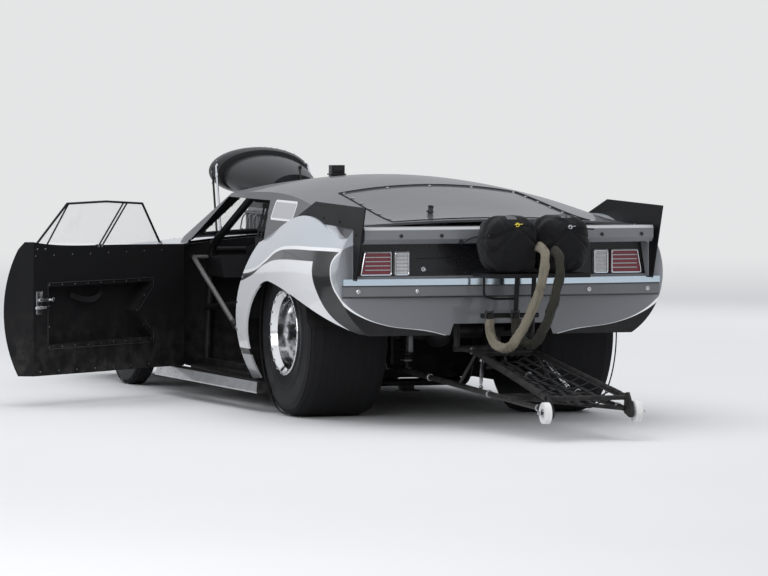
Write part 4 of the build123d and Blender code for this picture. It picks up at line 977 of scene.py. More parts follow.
def settle(piece: bpy.types.Object) -> bpy.types.Object:
    """Write the piece's place into its mesh, so that its object stands at the origin."""
    select_only(piece)
    bpy.ops.object.transform_apply(location=True, rotation=True, scale=True)
    return piece


def shape_with(piece: bpy.types.Object, kind: str, **settings: object) -> bpy.types.Object:
    """Add a modifier to a piece and apply it.

    Args:
        piece: The piece to shape.
        kind: The modifier's type.
        settings: Properties to set on it.

    Returns:
        The same piece.
    """
    select_only(piece)
    modifier = piece.modifiers.new(kind.lower(), kind)
    for name, value in settings.items():
        setattr(modifier, name, value)
    bpy.ops.object.modifier_apply(modifier=modifier.name)
    return piece


def join(pieces: Sequence[bpy.types.Object]) -> bpy.types.Object:
    """Join several pieces into the first one."""
    select_only(*pieces)
    if len(pieces) > 1:
        bpy.ops.object.join()
    return bpy.context.object


def outwards(piece: bpy.types.Object) -> bpy.types.Object:
    """Merge doubled points and turn all faces outwards."""
    select_only(piece)
    bpy.ops.object.mode_set(mode="EDIT")
    bpy.ops.mesh.select_all(action="SELECT")
    bpy.ops.mesh.remove_doubles(threshold=1e-5)
    bpy.ops.mesh.normals_make_consistent(inside=False)
    bpy.ops.object.mode_set(mode="OBJECT")
    return piece


def aim(direction: Vector, place: Vector) -> Matrix:
    """Give the move that turns +Z to a direction and goes to a place."""
    return Matrix.Translation(place) @ direction.to_track_quat("Z", "Y").to_matrix().to_4x4()


def rounded_box(size: Sequence[float], place: Vector, round_off: float = 0.003, steps: int = 2
                ) -> bpy.types.Object:
    """Make a box with rounded edges.

    Args:
        size: Its sizes along the axes.
        place: Its middle, in the row frame.
        round_off: Width of its rounded edges.
        steps: How many faces round an edge.

    Returns:
        The new piece.
    """
    deselect_all()
    bpy.ops.mesh.primitive_cube_add(size=1.0, location=place, scale=size)
    piece = settle(bpy.context.object)
    return shape_with(piece, "BEVEL", width=min(round_off, min(size) * 0.45), segments=steps)


def disc(radius: float, depth: float, start: Vector, direction: Vector, points: int = 24,
         round_off: float = 0.0) -> bpy.types.Object:
    """Make a round bar or plate that starts at a place and runs along a direction.

    Args:
        radius: Its radius.
        depth: Its length.
        start: Middle of its first face.
        direction: Where it runs.
        points: How many corners its outline has.
        round_off: Width of its rounded edges.

    Returns:
        The new piece.
    """
    deselect_all()
    bpy.ops.mesh.primitive_cylinder_add(vertices=points, radius=radius, depth=depth)
    piece = bpy.context.object
    piece.matrix_world = aim(direction, start + direction.normalized() * depth / 2)
    settle(piece)
    if round_off:
        shape_with(piece, "BEVEL", width=round_off, segments=2, limit_method="ANGLE", angle_limit=0.9)
    return piece


def hoop(major: float, minor: float, place: Vector, axis: Vector, points: int = 48, ring: int = 8
         ) -> bpy.types.Object:
    """Make a ring round an axis.

    Args:
        major: Radius of its middle line.
        minor: Radius of its section.
        place: Its middle.
        axis: The line that it goes round.
        points: How many steps go round the axis.
        ring: How many corners its section has.

    Returns:
        The new piece.
    """
    deselect_all()
    bpy.ops.mesh.primitive_torus_add(major_radius=major, minor_radius=minor, major_segments=points,
                                     minor_segments=ring)
    piece = bpy.context.object
    piece.matrix_world = aim(axis, place)
    return settle(piece)


def bent_bar(points: Sequence[Vector], radius: float, smooth: bool = True, ring: int = 4) -> bpy.types.Object:
    """Make a round bar along a line of points.

    Args:
        points: The line, in the row frame.
        radius: The bar's radius.
        smooth: Whether its corners are rounded into one curve.
        ring: How fine its section is.

    Returns:
        The new piece, as a mesh with closed ends.
    """
    data = bpy.data.curves.new("bar", "CURVE")
    data.dimensions = "3D"
    data.bevel_depth = radius
    data.bevel_resolution = ring
    data.use_fill_caps = True
    line = data.splines.new("NURBS" if smooth else "POLY")
    line.points.add(len(points) - 1)
    for spot, place in zip(line.points, points):
        spot.co = (*place, 1.0)
    if smooth:
        line.order_u = 3
        line.use_endpoint_u = True
        line.resolution_u = 8
    piece = bpy.data.objects.new("bar", data)
    bpy.context.scene.collection.objects.link(piece)
    select_only(piece)
    bpy.ops.object.convert(target="MESH")
    return outwards(bpy.context.object)


def ribbon(points: Sequence[Vector], across: Sequence[Vector], width: float, thick: float) -> bpy.types.Object:
    """Make a flat strap along a line of points.

    Args:
        points: The strap's middle line.
        across: The direction of its width at each point.
        width: Its width.
        thick: Its thickness.

    Returns:
        The new piece.
    """
    deselect_all()
    bpy.ops.mesh.primitive_grid_add(x_subdivisions=1, y_subdivisions=len(points) - 1, size=1.0)
    piece = bpy.context.object
    rows = sorted(piece.data.vertices, key=lambda v: (round(v.co.y, 5), v.co.x))
    for i, vertex in enumerate(rows):
        step, right = divmod(i, 2)
        side = across[step].normalized() * (width / 2) * (1 if right else -1)
        vertex.co = points[step] + side
    shape_with(piece, "SOLIDIFY", thickness=thick, offset=0.0)
    return outwards(piece)


def dome_bolt(radius: float, height: float) -> bpy.types.Object:
    """Make a fastener's domed head, standing on the origin.

    Args:
        radius: Its radius.
        height: How far it stands up.

    Returns:
        The new piece.
    """
    deselect_all()
    bpy.ops.mesh.primitive_cylinder_add(vertices=12, radius=radius, depth=height, location=(0, 0, height / 2))
    piece = settle(bpy.context.object)
    select_only(piece)
    bpy.ops.object.mode_set(mode="EDIT")
    bpy.ops.mesh.select_all(action="DESELECT")
    bpy.ops.object.mode_set(mode="OBJECT")
    for face in piece.data.polygons:
        face.select = face.normal.z > 0.9
    bpy.ops.object.mode_set(mode="EDIT")
    bpy.ops.mesh.inset(thickness=radius * 0.35, depth=height * 0.3)
    bpy.ops.mesh.inset(thickness=radius * 0.3, depth=height * 0.12)
    bpy.ops.object.mode_set(mode="OBJECT")
    return piece


def spread(model: bpy.types.Object, moves: Sequence[Matrix]) -> bpy.types.Object:
    """Copy a model to several places and join the copies.

    Args:
        model: The piece to copy, standing on the origin; it's taken away.
        moves: Where each copy goes.

    Returns:
        One piece with every copy.
    """
    copies = []
    for move in moves:
        copy = bpy.data.objects.new(model.name, model.data.copy())
        bpy.context.scene.collection.objects.link(copy)
        copy.data.transform(move)
        copies.append(copy)
    bpy.data.objects.remove(model)
    return join(copies)


class Skin:
    """Finds places on the surfaces of CAD nodes."""

    def __init__(self, nodes: dict[str, bpy.types.Object]) -> None:
        """Keep the nodes; each one's tree is built when it's first needed."""
        self.nodes = nodes
        self.trees: dict[str, BVHTree] = {}

    def hit(self, name: str, start: Vector, direction: Vector) -> Matrix | None:
        """Find where a line meets a node.

        Args:
            name: The node's name.
            start: Where the line starts, in the row frame.
            direction: Where it goes.

        Returns:
            The move that stands a piece on the surface there, or None where the line misses.
        """
        if name not in self.trees:
            mesh = self.nodes[name].data
            self.trees[name] = BVHTree.FromPolygons([v.co for v in mesh.vertices],
                                                    [p.vertices for p in mesh.polygons])
        place, normal, _, _ = self.trees[name].ray_cast(start, direction)
        if place is None:
            return None
        if normal.dot(direction) > 0:
            normal = -normal
        return aim(normal, place)


@dataclass
class Works:
    """What every sub-assembly needs: the frame, the finishes and the surfaces.

    Attributes:
        nodes: The CAD nodes by name.
        groups: The shared shader groups.
        skin: Finds places on the nodes.
        finishes: Materials by name.
    """

    nodes: dict[str, bpy.types.Object]
    groups: NodeGroups
    skin: Skin
    finishes: dict[str, bpy.types.Material] = field(default_factory=dict)

    def done(self, piece: bpy.types.Object, name: str, finish: str, body: str = BODY, slot: str = "",
             angle: float = 35.0) -> bpy.types.Object:
        """Name a piece, dress it and let it ride on a body.

        Args:
            piece: The finished piece.
            name: Its name.
            finish: The name of its material.
            body: The CAD body that it moves with.
            slot: Not used.
            angle: Edges flatter than this are shaded smooth, in degrees.

        Returns:
            The same piece.
        """
        piece.name = name
        piece.data.name = name
        piece.data.materials.clear()
        piece.data.materials.append(self.finishes[finish])
        select_only(piece)
        bpy.ops.object.shade_smooth_by_angle(angle=math.radians(angle))
        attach(piece, body)
        LOG.info("built %s", name)
        return piece


@dataclass
class Fasteners:
    """Bolts, rivets and quarter-turn studs on the panels.

    Attributes:
        dome_radius: Radius of a bumper bolt's head.
        rivet_radius: Radius of a rivet's head.
        stud_radius: Radius of a quarter-turn stud's head.
    """

    works: Works
    dome_radius: float = 0.012
    rivet_radius: float = 0.0045
    stud_radius: float = 0.009

    def build(self) -> None:
        """Put all the fasteners on."""
        behind, down, back = Vector((1, 0, 0)), Vector((0, 0, -1)), -1.6
        self.row("bumper_bolts", "rear_bumper", "bolt_steel",
                 [(car(back, y, 0.678), behind) for y in (0.766, 0.461, -0.452, -0.776)], self.dome_radius)
        self.row("lip_bolts", "spoiler", "black_bolt",
                 [(car(back, y, 0.957), behind) for y in (0.577, 0.364, -0.49, -0.703)], 0.009)
        self.row("rear_glass_studs", "rear_window_panel", "bolt_steel", self.glass_edge(down), self.stud_radius)
        self.row("hood_studs", "hood", "bolt_steel", self.hood_edge(down), self.stud_radius)
        self.row("windshield_studs", "windshield", "bolt_steel", self.windshield_edge(down), 0.006)
        for side in Side:
            self.side_rows(side)

    def side_rows(self, side: Side) -> None:
        """Put the rows of one side on."""
        s, inwards = side.value, Vector((0, -side.value, 0))
        wing = [(car(x, s * 1.4, z), inwards) for x, z in
                ((2.02, 0.30), (2.02, 0.55), (2.02, 0.74), (2.30, 0.20), (3.55, 0.30), (3.70, 0.38))]
        self.row(f"{side.word}_wing_studs", "front_clip", "bolt_steel", wing, self.stud_radius)
        quarter = [(car(0.575, s * 1.4, z), inwards) for z in (0.30, 0.42, 0.56, 0.69)]
        self.row(f"{side.word}_quarter_studs", "quarter_panels_and_deck", "bolt_steel", quarter, 0.007)
        rocker = [(car(x, s * 1.4, 0.135), inwards) for x in (0.55, 0.85, 1.15, 1.45, 1.75, 2.02)]
        self.row(f"{side.word}_rocker_rivets", f"{side.word}_rocker", "bolt_steel", rocker, self.rivet_radius)
        plate = [(car(x, s * 1.4, z), inwards) for x, z in
                 ((-0.25, 1.035), (-0.50, 1.03), (-0.75, 1.02), (-1.0, 0.96), (-1.0, 0.85), (-0.985, 0.78))]
        self.row(f"{side.word}_end_plate_bolts", f"{side.word}_end_plate", "black_bolt", plate, 0.007)

    def glass_edge(self, down: Vector) -> list[tuple[Vector, Vector]]:
        """Give the places round the rear window panel's edge."""
        spots = [(0.135 - 0.16 * i, side * (0.465 + 0.007 * i)) for i in range(6) for side in (1, -1)]
        spots += [(0.13, y) for y in (-0.23, 0.0, 0.23)] + [(-0.785, y) for y in (-0.34, -0.17, 0.0, 0.17, 0.34)]
        return [(car(x, y, 1.5), down) for x, y in spots]

    def hood_edge(self, down: Vector) -> list[tuple[Vector, Vector]]:
        """Give the places round the hood's edge."""
        spots = [(2.20 + 0.28 * i, side * (0.505 - 0.009 * i)) for i in range(6) for side in (1, -1)]
        spots += [(3.61, y) for y in (-0.3, 0.0, 0.3)]
        return [(car(x, y, 1.5), down) for x, y in spots]

    def windshield_edge(self, down: Vector) -> list[tuple[Vector, Vector]]:
        """Give the places along the windshield's two sides and its foot."""
        spots = [(2.04 - 0.085 * i, side * (0.612 - 0.0106 * i)) for i in range(7) for side in (1, -1)]
        spots += [(2.045, y) for y in (-0.4, -0.2, 0.0, 0.2, 0.4)]
        return [(car(x, y, 1.5), down) for x, y in spots]

    def row(self, name: str, node: str, finish: str, lines: Sequence[tuple[Vector, Vector]], radius: float) -> None:
        """Put a fastener wherever a line meets a node.

        Args:
            name: The piece's name.
            node: The node that carries the fasteners.
            finish: Their material.
            lines: Where each line starts and where it goes.
            radius: Radius of a head.
        """
        spots = [self.works.skin.hit(node, start, way) for start, way in lines]
        spots = [spot for spot in spots if spot is not None]
        if spots:
            self.works.done(spread(dome_bolt(radius, radius * 0.55), spots), name, finish)


@dataclass
class Tail:
    """Small pieces on the tail: the rivets of its recess, a knob, a crease bead and bright rims round the lamps.

    Attributes:
        recess_x: Face of the panel behind the recess.
        knob: Place of the cut-off knob on it.
    """

    works: Works
    recess_x: float = -0.938
    knob: Point = (-0.938, 0.413, 0.786)

    def build(self) -> None:
        """Build the pieces."""
        back = Vector((-1, 0, 0))
        knob = join([disc(0.012, 0.005, car(*self.knob), back, 20, 0.001),
                     disc(0.004, 0.020, car(*self.knob), back, 12, 0.001),
                     disc(0.008, 0.008, car(*self.knob) + back * 0.018, back, 16, 0.002)])
        self.works.done(knob, "cut_off_knob", "bolt_steel")
        rivets = [aim(back, car(self.recess_x, y * 0.095, z)) for y in range(-7, 8) for z in (0.766, 0.898)
                  if abs(y * 0.095) < 0.47]
        self.works.done(spread(dome_bolt(0.0035, 0.002), rivets), "tail_panel_rivets", "black_bolt")
        crease = [Vector(car(self.recess_x - 0.001, y, z)) for y, z in ((-0.45, 0.838), (-0.2, 0.843), (0.2, 0.843), (0.45, 0.838))]
        self.works.done(bent_bar(crease, 0.0015, ring=2), "tail_panel_crease", "carbon")
        self.lamp_rims()

    def lamp_rims(self) -> None:
        """Set a bright rim round each lamp."""
        for side in Side:
            rims = []
            # Columns: inner half width, outer half width at the foot and at the top
            for inner, foot, top in ((0.589, 0.748, 0.727), (0.496, 0.566, 0.566)):
                low, high, x, r = 0.760, 0.872, -0.9575, 0.012
                corners = [(inner, low), (foot, low), (top, high), (inner, high)]
                line = rounded_outline(corners, r)
                rims.append(bent_bar([car(x, side.value * y, z) for y, z in line + line[:1]], 0.0032, smooth=False, ring=2))
            self.works.done(join(rims), f"{side.word}_lamp_rims", "chrome")


def rounded_outline(corners: Sequence[tuple[float, float]], radius: float, steps: int = 5
                    ) -> list[tuple[float, float]]:
    """Round the corners of a closed outline.

    Args:
        corners: The outline's corners.
        radius: How far from each corner the rounding starts.
        steps: How many steps go round a corner.

    Returns:
        The rounded outline's points.
    """
    line = []
    for i, corner in enumerate(corners):
        here = Vector(corner)
        before, after = Vector(corners[i - 1]), Vector(corners[(i + 1) % len(corners)])
        start = here + (before - here).normalized() * radius
        end = here + (after - here).normalized() * radius
        for k in range(steps + 1):
            t = k / steps
            point = start * (1 - t) ** 2 + here * 2 * t * (1 - t) + end * t ** 2
            line.append((point.x, point.y))
    return line


@dataclass
class Parachutes:
    """Two packed parachutes behind the tail, with their seams, straps and rings.

    Attributes:
        rear_x: Rear face of the packs.
        front_x: Front face of the packs.
        low: Underside of the packs.
        high: Top of the packs.
        voxel: Size of the cloth's mesh.
    """

    works: Works
    rear_x: float = -1.355
    front_x: float = -1.090
    low: float = 0.773
    high: float = 1.056
    voxel: float = 0.007

    def build(self) -> None:
        """Build both packs."""
        # Columns: side, lowest and highest y, place of the ring
        for side, y0, y1, ring in ((Side.LEFT, -0.062, 0.218, (0.061, 1.016)), (Side.RIGHT, -0.348, -0.068, (-0.214, 1.004))):
            pack = self.bag(y0, y1)
            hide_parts(f"{side.word}_parachute_pack")
            self.works.done(pack, f"{side.word}_pack_bag", "pack_nylon", slot="pack_cloth", angle=60.0)
            self.trim(side, pack, y0, y1, ring)

    def bag(self, y0: float, y1: float) -> bpy.types.Object:
        """Make one stuffed bag.

        Args:
            y0: Its right-hand face.
            y1: Its left-hand face.

        Returns:
            The bag.
        """
        size = Vector((self.front_x - self.rear_x, y1 - y0, self.high - self.low))
        middle = car((self.rear_x + self.front_x) / 2, (y0 + y1) / 2, (self.low + self.high) / 2)
        deselect_all()
        bpy.ops.mesh.primitive_cube_add(size=1.0, location=middle, scale=size * 0.955)
        bag = settle(bpy.context.object)
        bpy.ops.object.mode_set(mode="EDIT")
        bpy.ops.mesh.select_all(action="SELECT")
        bpy.ops.mesh.subdivide(number_cuts=3, smoothness=0.0)
        bpy.ops.object.mode_set(mode="OBJECT")
        for vertex in bag.data.vertices:
            share = [(vertex.co[i] - middle[i]) / (size[i] * 0.5) for i in range(3)]
            pull = 1.0 - 0.07 * abs(share[0] * share[1]) - 0.05 * abs(share[0] * share[2])
            outer = max(0.0, share[1] if y1 > 0 else -share[1])
            taper = (0.22 if share[2] > 0 else 0.34) * max(0.0, abs(share[2]) - 0.12) * outer
            vertex.co = middle + (vertex.co - middle) * pull
            vertex.co.y = middle.y + (vertex.co.y - middle.y) * (1.0 - taper)
        shape_with(bag, "BEVEL", width=0.030, segments=3, limit_method="ANGLE", angle_limit=0.9)
        shape_with(bag, "REMESH", mode="VOXEL", voxel_size=self.voxel)
        self.stuff(bag)
        self.seams(bag, middle, size, Side.LEFT if y1 > 0 else Side.RIGHT)
        return bag

    def stuff(self, bag: bpy.types.Object) -> None:
        """Swell the bag with a short cloth simulation, and cap how far it moves."""
        before = [v.co.copy() for v in bag.data.vertices]
        select_only(bag)
        cloth = bag.modifiers.new("cloth", "CLOTH")
        cloth.settings.quality = 5
        cloth.settings.use_pressure = True
        cloth.settings.uniform_pressure_force = 4.0
        cloth.settings.effector_weights.gravity = 0.0
        cloth.settings.tension_stiffness = 25.0
        scene = bpy.context.scene
        for frame in range(1, 15):
            scene.frame_set(frame)
        bpy.ops.object.modifier_apply(modifier=cloth.name)
        scene.frame_set(1)
        cap = 0.011
        for vertex, start in zip(bag.data.vertices, before):
            move = vertex.co - start
            if move.length > cap:
                vertex.co = start + move.normalized() * cap

    def seam_ends(self, side: Side) -> tuple[tuple[float, float], list[tuple[float, float]]]:
        """Say where a pack's seams meet and where they run to, across and up.

        Args:
            side: Which pack it is.

        Returns:
            The meeting place and the seams' far ends.
        """
        if side is Side.LEFT:
            return (0.061, 1.010), [(0.212, 0.945), (0.178, 0.884), (-0.046, 0.921)]
        return (-0.213, 1.000), [(-0.340, 0.950), (-0.086, 0.884), (-0.330, 0.885)]

    def seams(self, bag: bpy.types.Object, middle: Vector, size: Vector, side: Side) -> None:
        """Draw the bag in along its seams on the rear face, and crumple it.

        Args:
            bag: The bag.
            middle: Its middle.
            size: Its sizes.
            side: Which pack it is.
        """
        fork, ends = self.seam_ends(side)
        for vertex in bag.data.vertices:
            rear = max(0.0, min(1.0, (middle.x - vertex.co.x) / (size.x * 0.35)))
            away = min(distance_to_run((vertex.co.y, vertex.co.z + RIDE), fork, end) for end in ends)
            groove = math.exp(-(away / 0.007) ** 2) * rear
            crumple = noise.noise(vertex.co * 11.0) * 0.0055 + noise.noise(vertex.co * 30.0) * 0.0028
            outward = Vector((vertex.co - middle)).normalized()
            vertex.co += outward * (crumple - 0.0075 * groove)

    def trim(self, side: Side, pack: bpy.types.Object, y0: float, y1: float, ring: tuple[float, float]) -> None:
        """Add straps, piping and the release ring of one pack.

        Args:
            side: Which pack it is.
            pack: The bag.
            y0: Its right-hand face.
            y1: Its left-hand face.
            ring: Place of the ring, across and up.
        """
        middle_y = (y0 + y1) / 2
        fork, ends = self.seam_ends(side)
        straps = [self.laid_strap(pack, fork, end, 0.009) for end in ends]
        straps.append(self.laid_strap(pack, (y1 - 0.006, ring[1] - 0.055), ring, 0.007))
        straps.append(self.laid_strap(pack, ring, (y0 + 0.012, ring[1] - 0.012), 0.007))
        self.works.done(join(straps), f"{side.word}_pack_piping", "webbing", slot="pack_cloth")
        spot = self.surface(pack, *ring)
        loop = hoop(0.0085, 0.0022, spot + Vector((-0.006, 0, 0)), Vector((-1, 0.1, 0)), 24, 8)
        pin = bent_bar([spot + Vector((-0.006, 0.014, 0.002)), spot + Vector((-0.007, -0.005, 0.003)),
                        spot + Vector((-0.006, -0.028, 0.004))], 0.0018, ring=2)
        finish = "ring_yellow" if side is Side.LEFT else "bolt_steel"
        self.works.done(join([loop, pin]), f"{side.word}_pack_ring", finish)
        patch = [self.surface_top(pack, middle_y + dy, self.rear_x + dx) for dx in (0.045, 0.065, 0.085) for dy in (0.0,)]
        tab = ribbon(patch, [Vector((0, 1, 0))] * len(patch), 0.05, 0.002)
        self.works.done(tab, f"{side.word}_pack_patch", "grey_webbing", slot="pack_cloth")

    def surface(self, pack: bpy.types.Object, y: float, z: float) -> Vector:
        """Find a place on the pack's rear face."""
        found, place, _, _ = pack.ray_cast(car(-1.7, y, z), Vector((1, 0, 0)))
        return place if found else car(self.rear_x, y, z)

    def surface_top(self, pack: bpy.types.Object, y: float, x: float) -> Vector:
        """Find a place on the pack's top."""
        found, place, _, _ = pack.ray_cast(car(x, y, 1.4), Vector((0, 0, -1)))
        return place if found else car(x, y, self.high)

    def laid_strap(self, pack: bpy.types.Object, start: tuple[float, float], end: tuple[float, float], width: float
                   ) -> bpy.types.Object:
        """Lay a strap on the pack's rear face between two places given across and up."""
        steps = 12
        line = [self.surface(pack, start[0] + (end[0] - start[0]) * i / steps, start[1] + (end[1] - start[1]) * i / steps)
                + Vector((-0.001, 0, 0)) for i in range(steps + 1)]
        run = (line[-1] - line[0]).normalized()
        across = [run.cross(Vector((1, 0, 0)))] * len(line)
        return ribbon(line, across, width, 0.003)


def distance_to_run(point: tuple[float, float], start: tuple[float, float], end: tuple[float, float]) -> float:
    """Measure how far a point lies from a straight run.

    Args:
        point: The point.
        start: Where the run starts.
        end: Where it ends.

    Returns:
        The distance.
    """
    a, b, p = Vector(start), Vector(end), Vector(point)
    run = b - a
    t = max(0.0, min(1.0, (p - a).dot(run) / run.length_squared))
    return (a + run * t - p).length


@dataclass
class Tethers:
    """The parachutes' webbing sleeves, hanging in loops between the packs and the lugs.

    Attributes:
        diameter: How thick a sleeve is.
    """

    works: Works
    diameter: float = 0.050
    left_route: Sequence[Point] = (
        (-1.325, -0.058, 0.905), (-1.410, -0.055, 0.898), (-1.440, -0.050, 0.848), (-1.440, -0.038, 0.780),
        (-1.428, -0.010, 0.660), (-1.408, 0.030, 0.545), (-1.375, 0.070, 0.455), (-1.325, 0.100, 0.405),
        (-1.265, 0.122, 0.400), (-1.215, 0.138, 0.430), (-1.180, 0.150, 0.485), (-1.180, 0.150, 0.5447))
    right_route: Sequence[Point] = (
        (-1.350, -0.130, 0.885), (-1.410, -0.130, 0.878), (-1.440, -0.127, 0.828), (-1.442, -0.120, 0.762),
        (-1.432, -0.100, 0.650), (-1.410, -0.075, 0.545), (-1.375, -0.055, 0.470), (-1.325, -0.035, 0.425),
        (-1.265, -0.015, 0.420), (-1.215, 0.000, 0.448), (-1.180, 0.012, 0.492), (-1.180, 0.012, 0.5447))

    def build(self) -> None:
        """Build both tethers with the shackles in their lugs."""
        # Columns: side, route, finish
        # The right sleeve's darker finish is painted shade on the same tan webbing.
        for side, route, finish in ((Side.LEFT, self.left_route, "pale_webbing"), (Side.RIGHT, self.right_route, "olive_webbing")):
            line = self.centre_line(route)
            sleeve = self.sleeve(line)
            self.works.done(sleeve, f"{side.word}_tether_sleeve", finish, slot="pack_cloth", angle=60.0)
            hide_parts(f"{side.word}_tether")
            self.shackle(side, Vector(car(*route[-1])))

    def centre_line(self, route: Sequence[Point]) -> list[Vector]:
        """Give the smooth line of a tether from its route.

        Args:
            route: The route's points on the car's own axes.

        Returns:
            Points along its spline.
        """
        data = bpy.data.curves.new("tether_line", "CURVE")
        data.dimensions = "3D"
        line = data.splines.new("NURBS")
        line.points.add(len(route) - 1)
        for spot, place in zip(line.points, route):
            spot.co = (*car(*place), 1.0)
        line.order_u = 3
        line.use_endpoint_u = True
        line.resolution_u = 12
        holder = bpy.data.objects.new("tether_line", data)
        bpy.context.scene.collection.objects.link(holder)
        mesh = bpy.data.meshes.new_from_object(holder)
        points = [v.co.copy() for v in mesh.vertices]
        bpy.data.objects.remove(holder)
        return points

    def sleeve(self, line: Sequence[Vector]) -> bpy.types.Object:
        """Make a wrinkled tube of cloth round a line.

        Args:
            line: The points that it follows.

        Returns:
            The sleeve.
        """
        deselect_all()
        around = 32
        bpy.ops.mesh.primitive_cylinder_add(vertices=around, radius=0.5, depth=1.0, end_fill_type="NOTHING")
        sleeve = bpy.context.object
        bpy.ops.object.mode_set(mode="EDIT")
        bpy.ops.mesh.select_all(action="DESELECT")
        bpy.ops.object.mode_set(mode="OBJECT")
        for vertex in sleeve.data.vertices:
            vertex.select = vertex.co.z > 0
        for _ in range(len(line) - 2):
            bpy.ops.object.mode_set(mode="EDIT")
            bpy.ops.mesh.extrude_region_move(TRANSFORM_OT_translate={"value": (0, 0, 1.0)})
            bpy.ops.object.mode_set(mode="OBJECT")
        side = Vector((0, 1, 0))
        for vertex in sleeve.data.vertices:
            step = round(vertex.co.z + 0.5)
            here = line[step]
            run = (line[min(step + 1, len(line) - 1)] - line[max(step - 1, 0)]).normalized()
            across = (side - run * side.dot(run)).normalized()
            up = run.cross(across)
            angle = math.atan2(vertex.co.y, vertex.co.x)
            pleat = 1.0 + 0.15 * math.sin(3 * angle + step * 0.09) + 0.06 * math.sin(step * 0.37 + angle)
            fold = noise.noise(here * 16.0 + Vector((math.cos(angle), math.sin(angle), 0)) * 0.9)
            crease = noise.noise(here * 62.0 + Vector((math.cos(angle), math.sin(angle), 0)) * 1.7)
            radius = self.diameter / 2 * (0.91 * pleat + 0.24 * fold + 0.13 * crease)
            vertex.co = here + across * math.cos(angle) * radius + up * math.sin(angle) * radius
        bpy.ops.object.mode_set(mode="EDIT")
        bpy.ops.mesh.select_all(action="DESELECT")
        bpy.ops.mesh.select_non_manifold()
        bpy.ops.mesh.edge_face_add()
        bpy.ops.object.mode_set(mode="OBJECT")
        return outwards(sleeve)

    def shackle(self, side: Side, place: Vector) -> None:
        """Put the shackle that holds a tether on its lug."""
        bow = bent_bar([place + Vector((0, 0.017, 0.045)), place + Vector((0, 0.019, 0.010)), place + Vector((0, 0.016, -0.014)),
                        place + Vector((0, -0.016, -0.014)), place + Vector((0, -0.019, 0.010)),
                        place + Vector((0, -0.017, 0.045))], 0.0045, ring=3)
        pin = disc(0.0055, 0.046, place + Vector((0, -0.023, 0.033)), Vector((0, 1, 0)), 12, 0.001)
        self.works.done(join([bow, pin]), f"{side.word}_tether_shackle", "axle_steel")


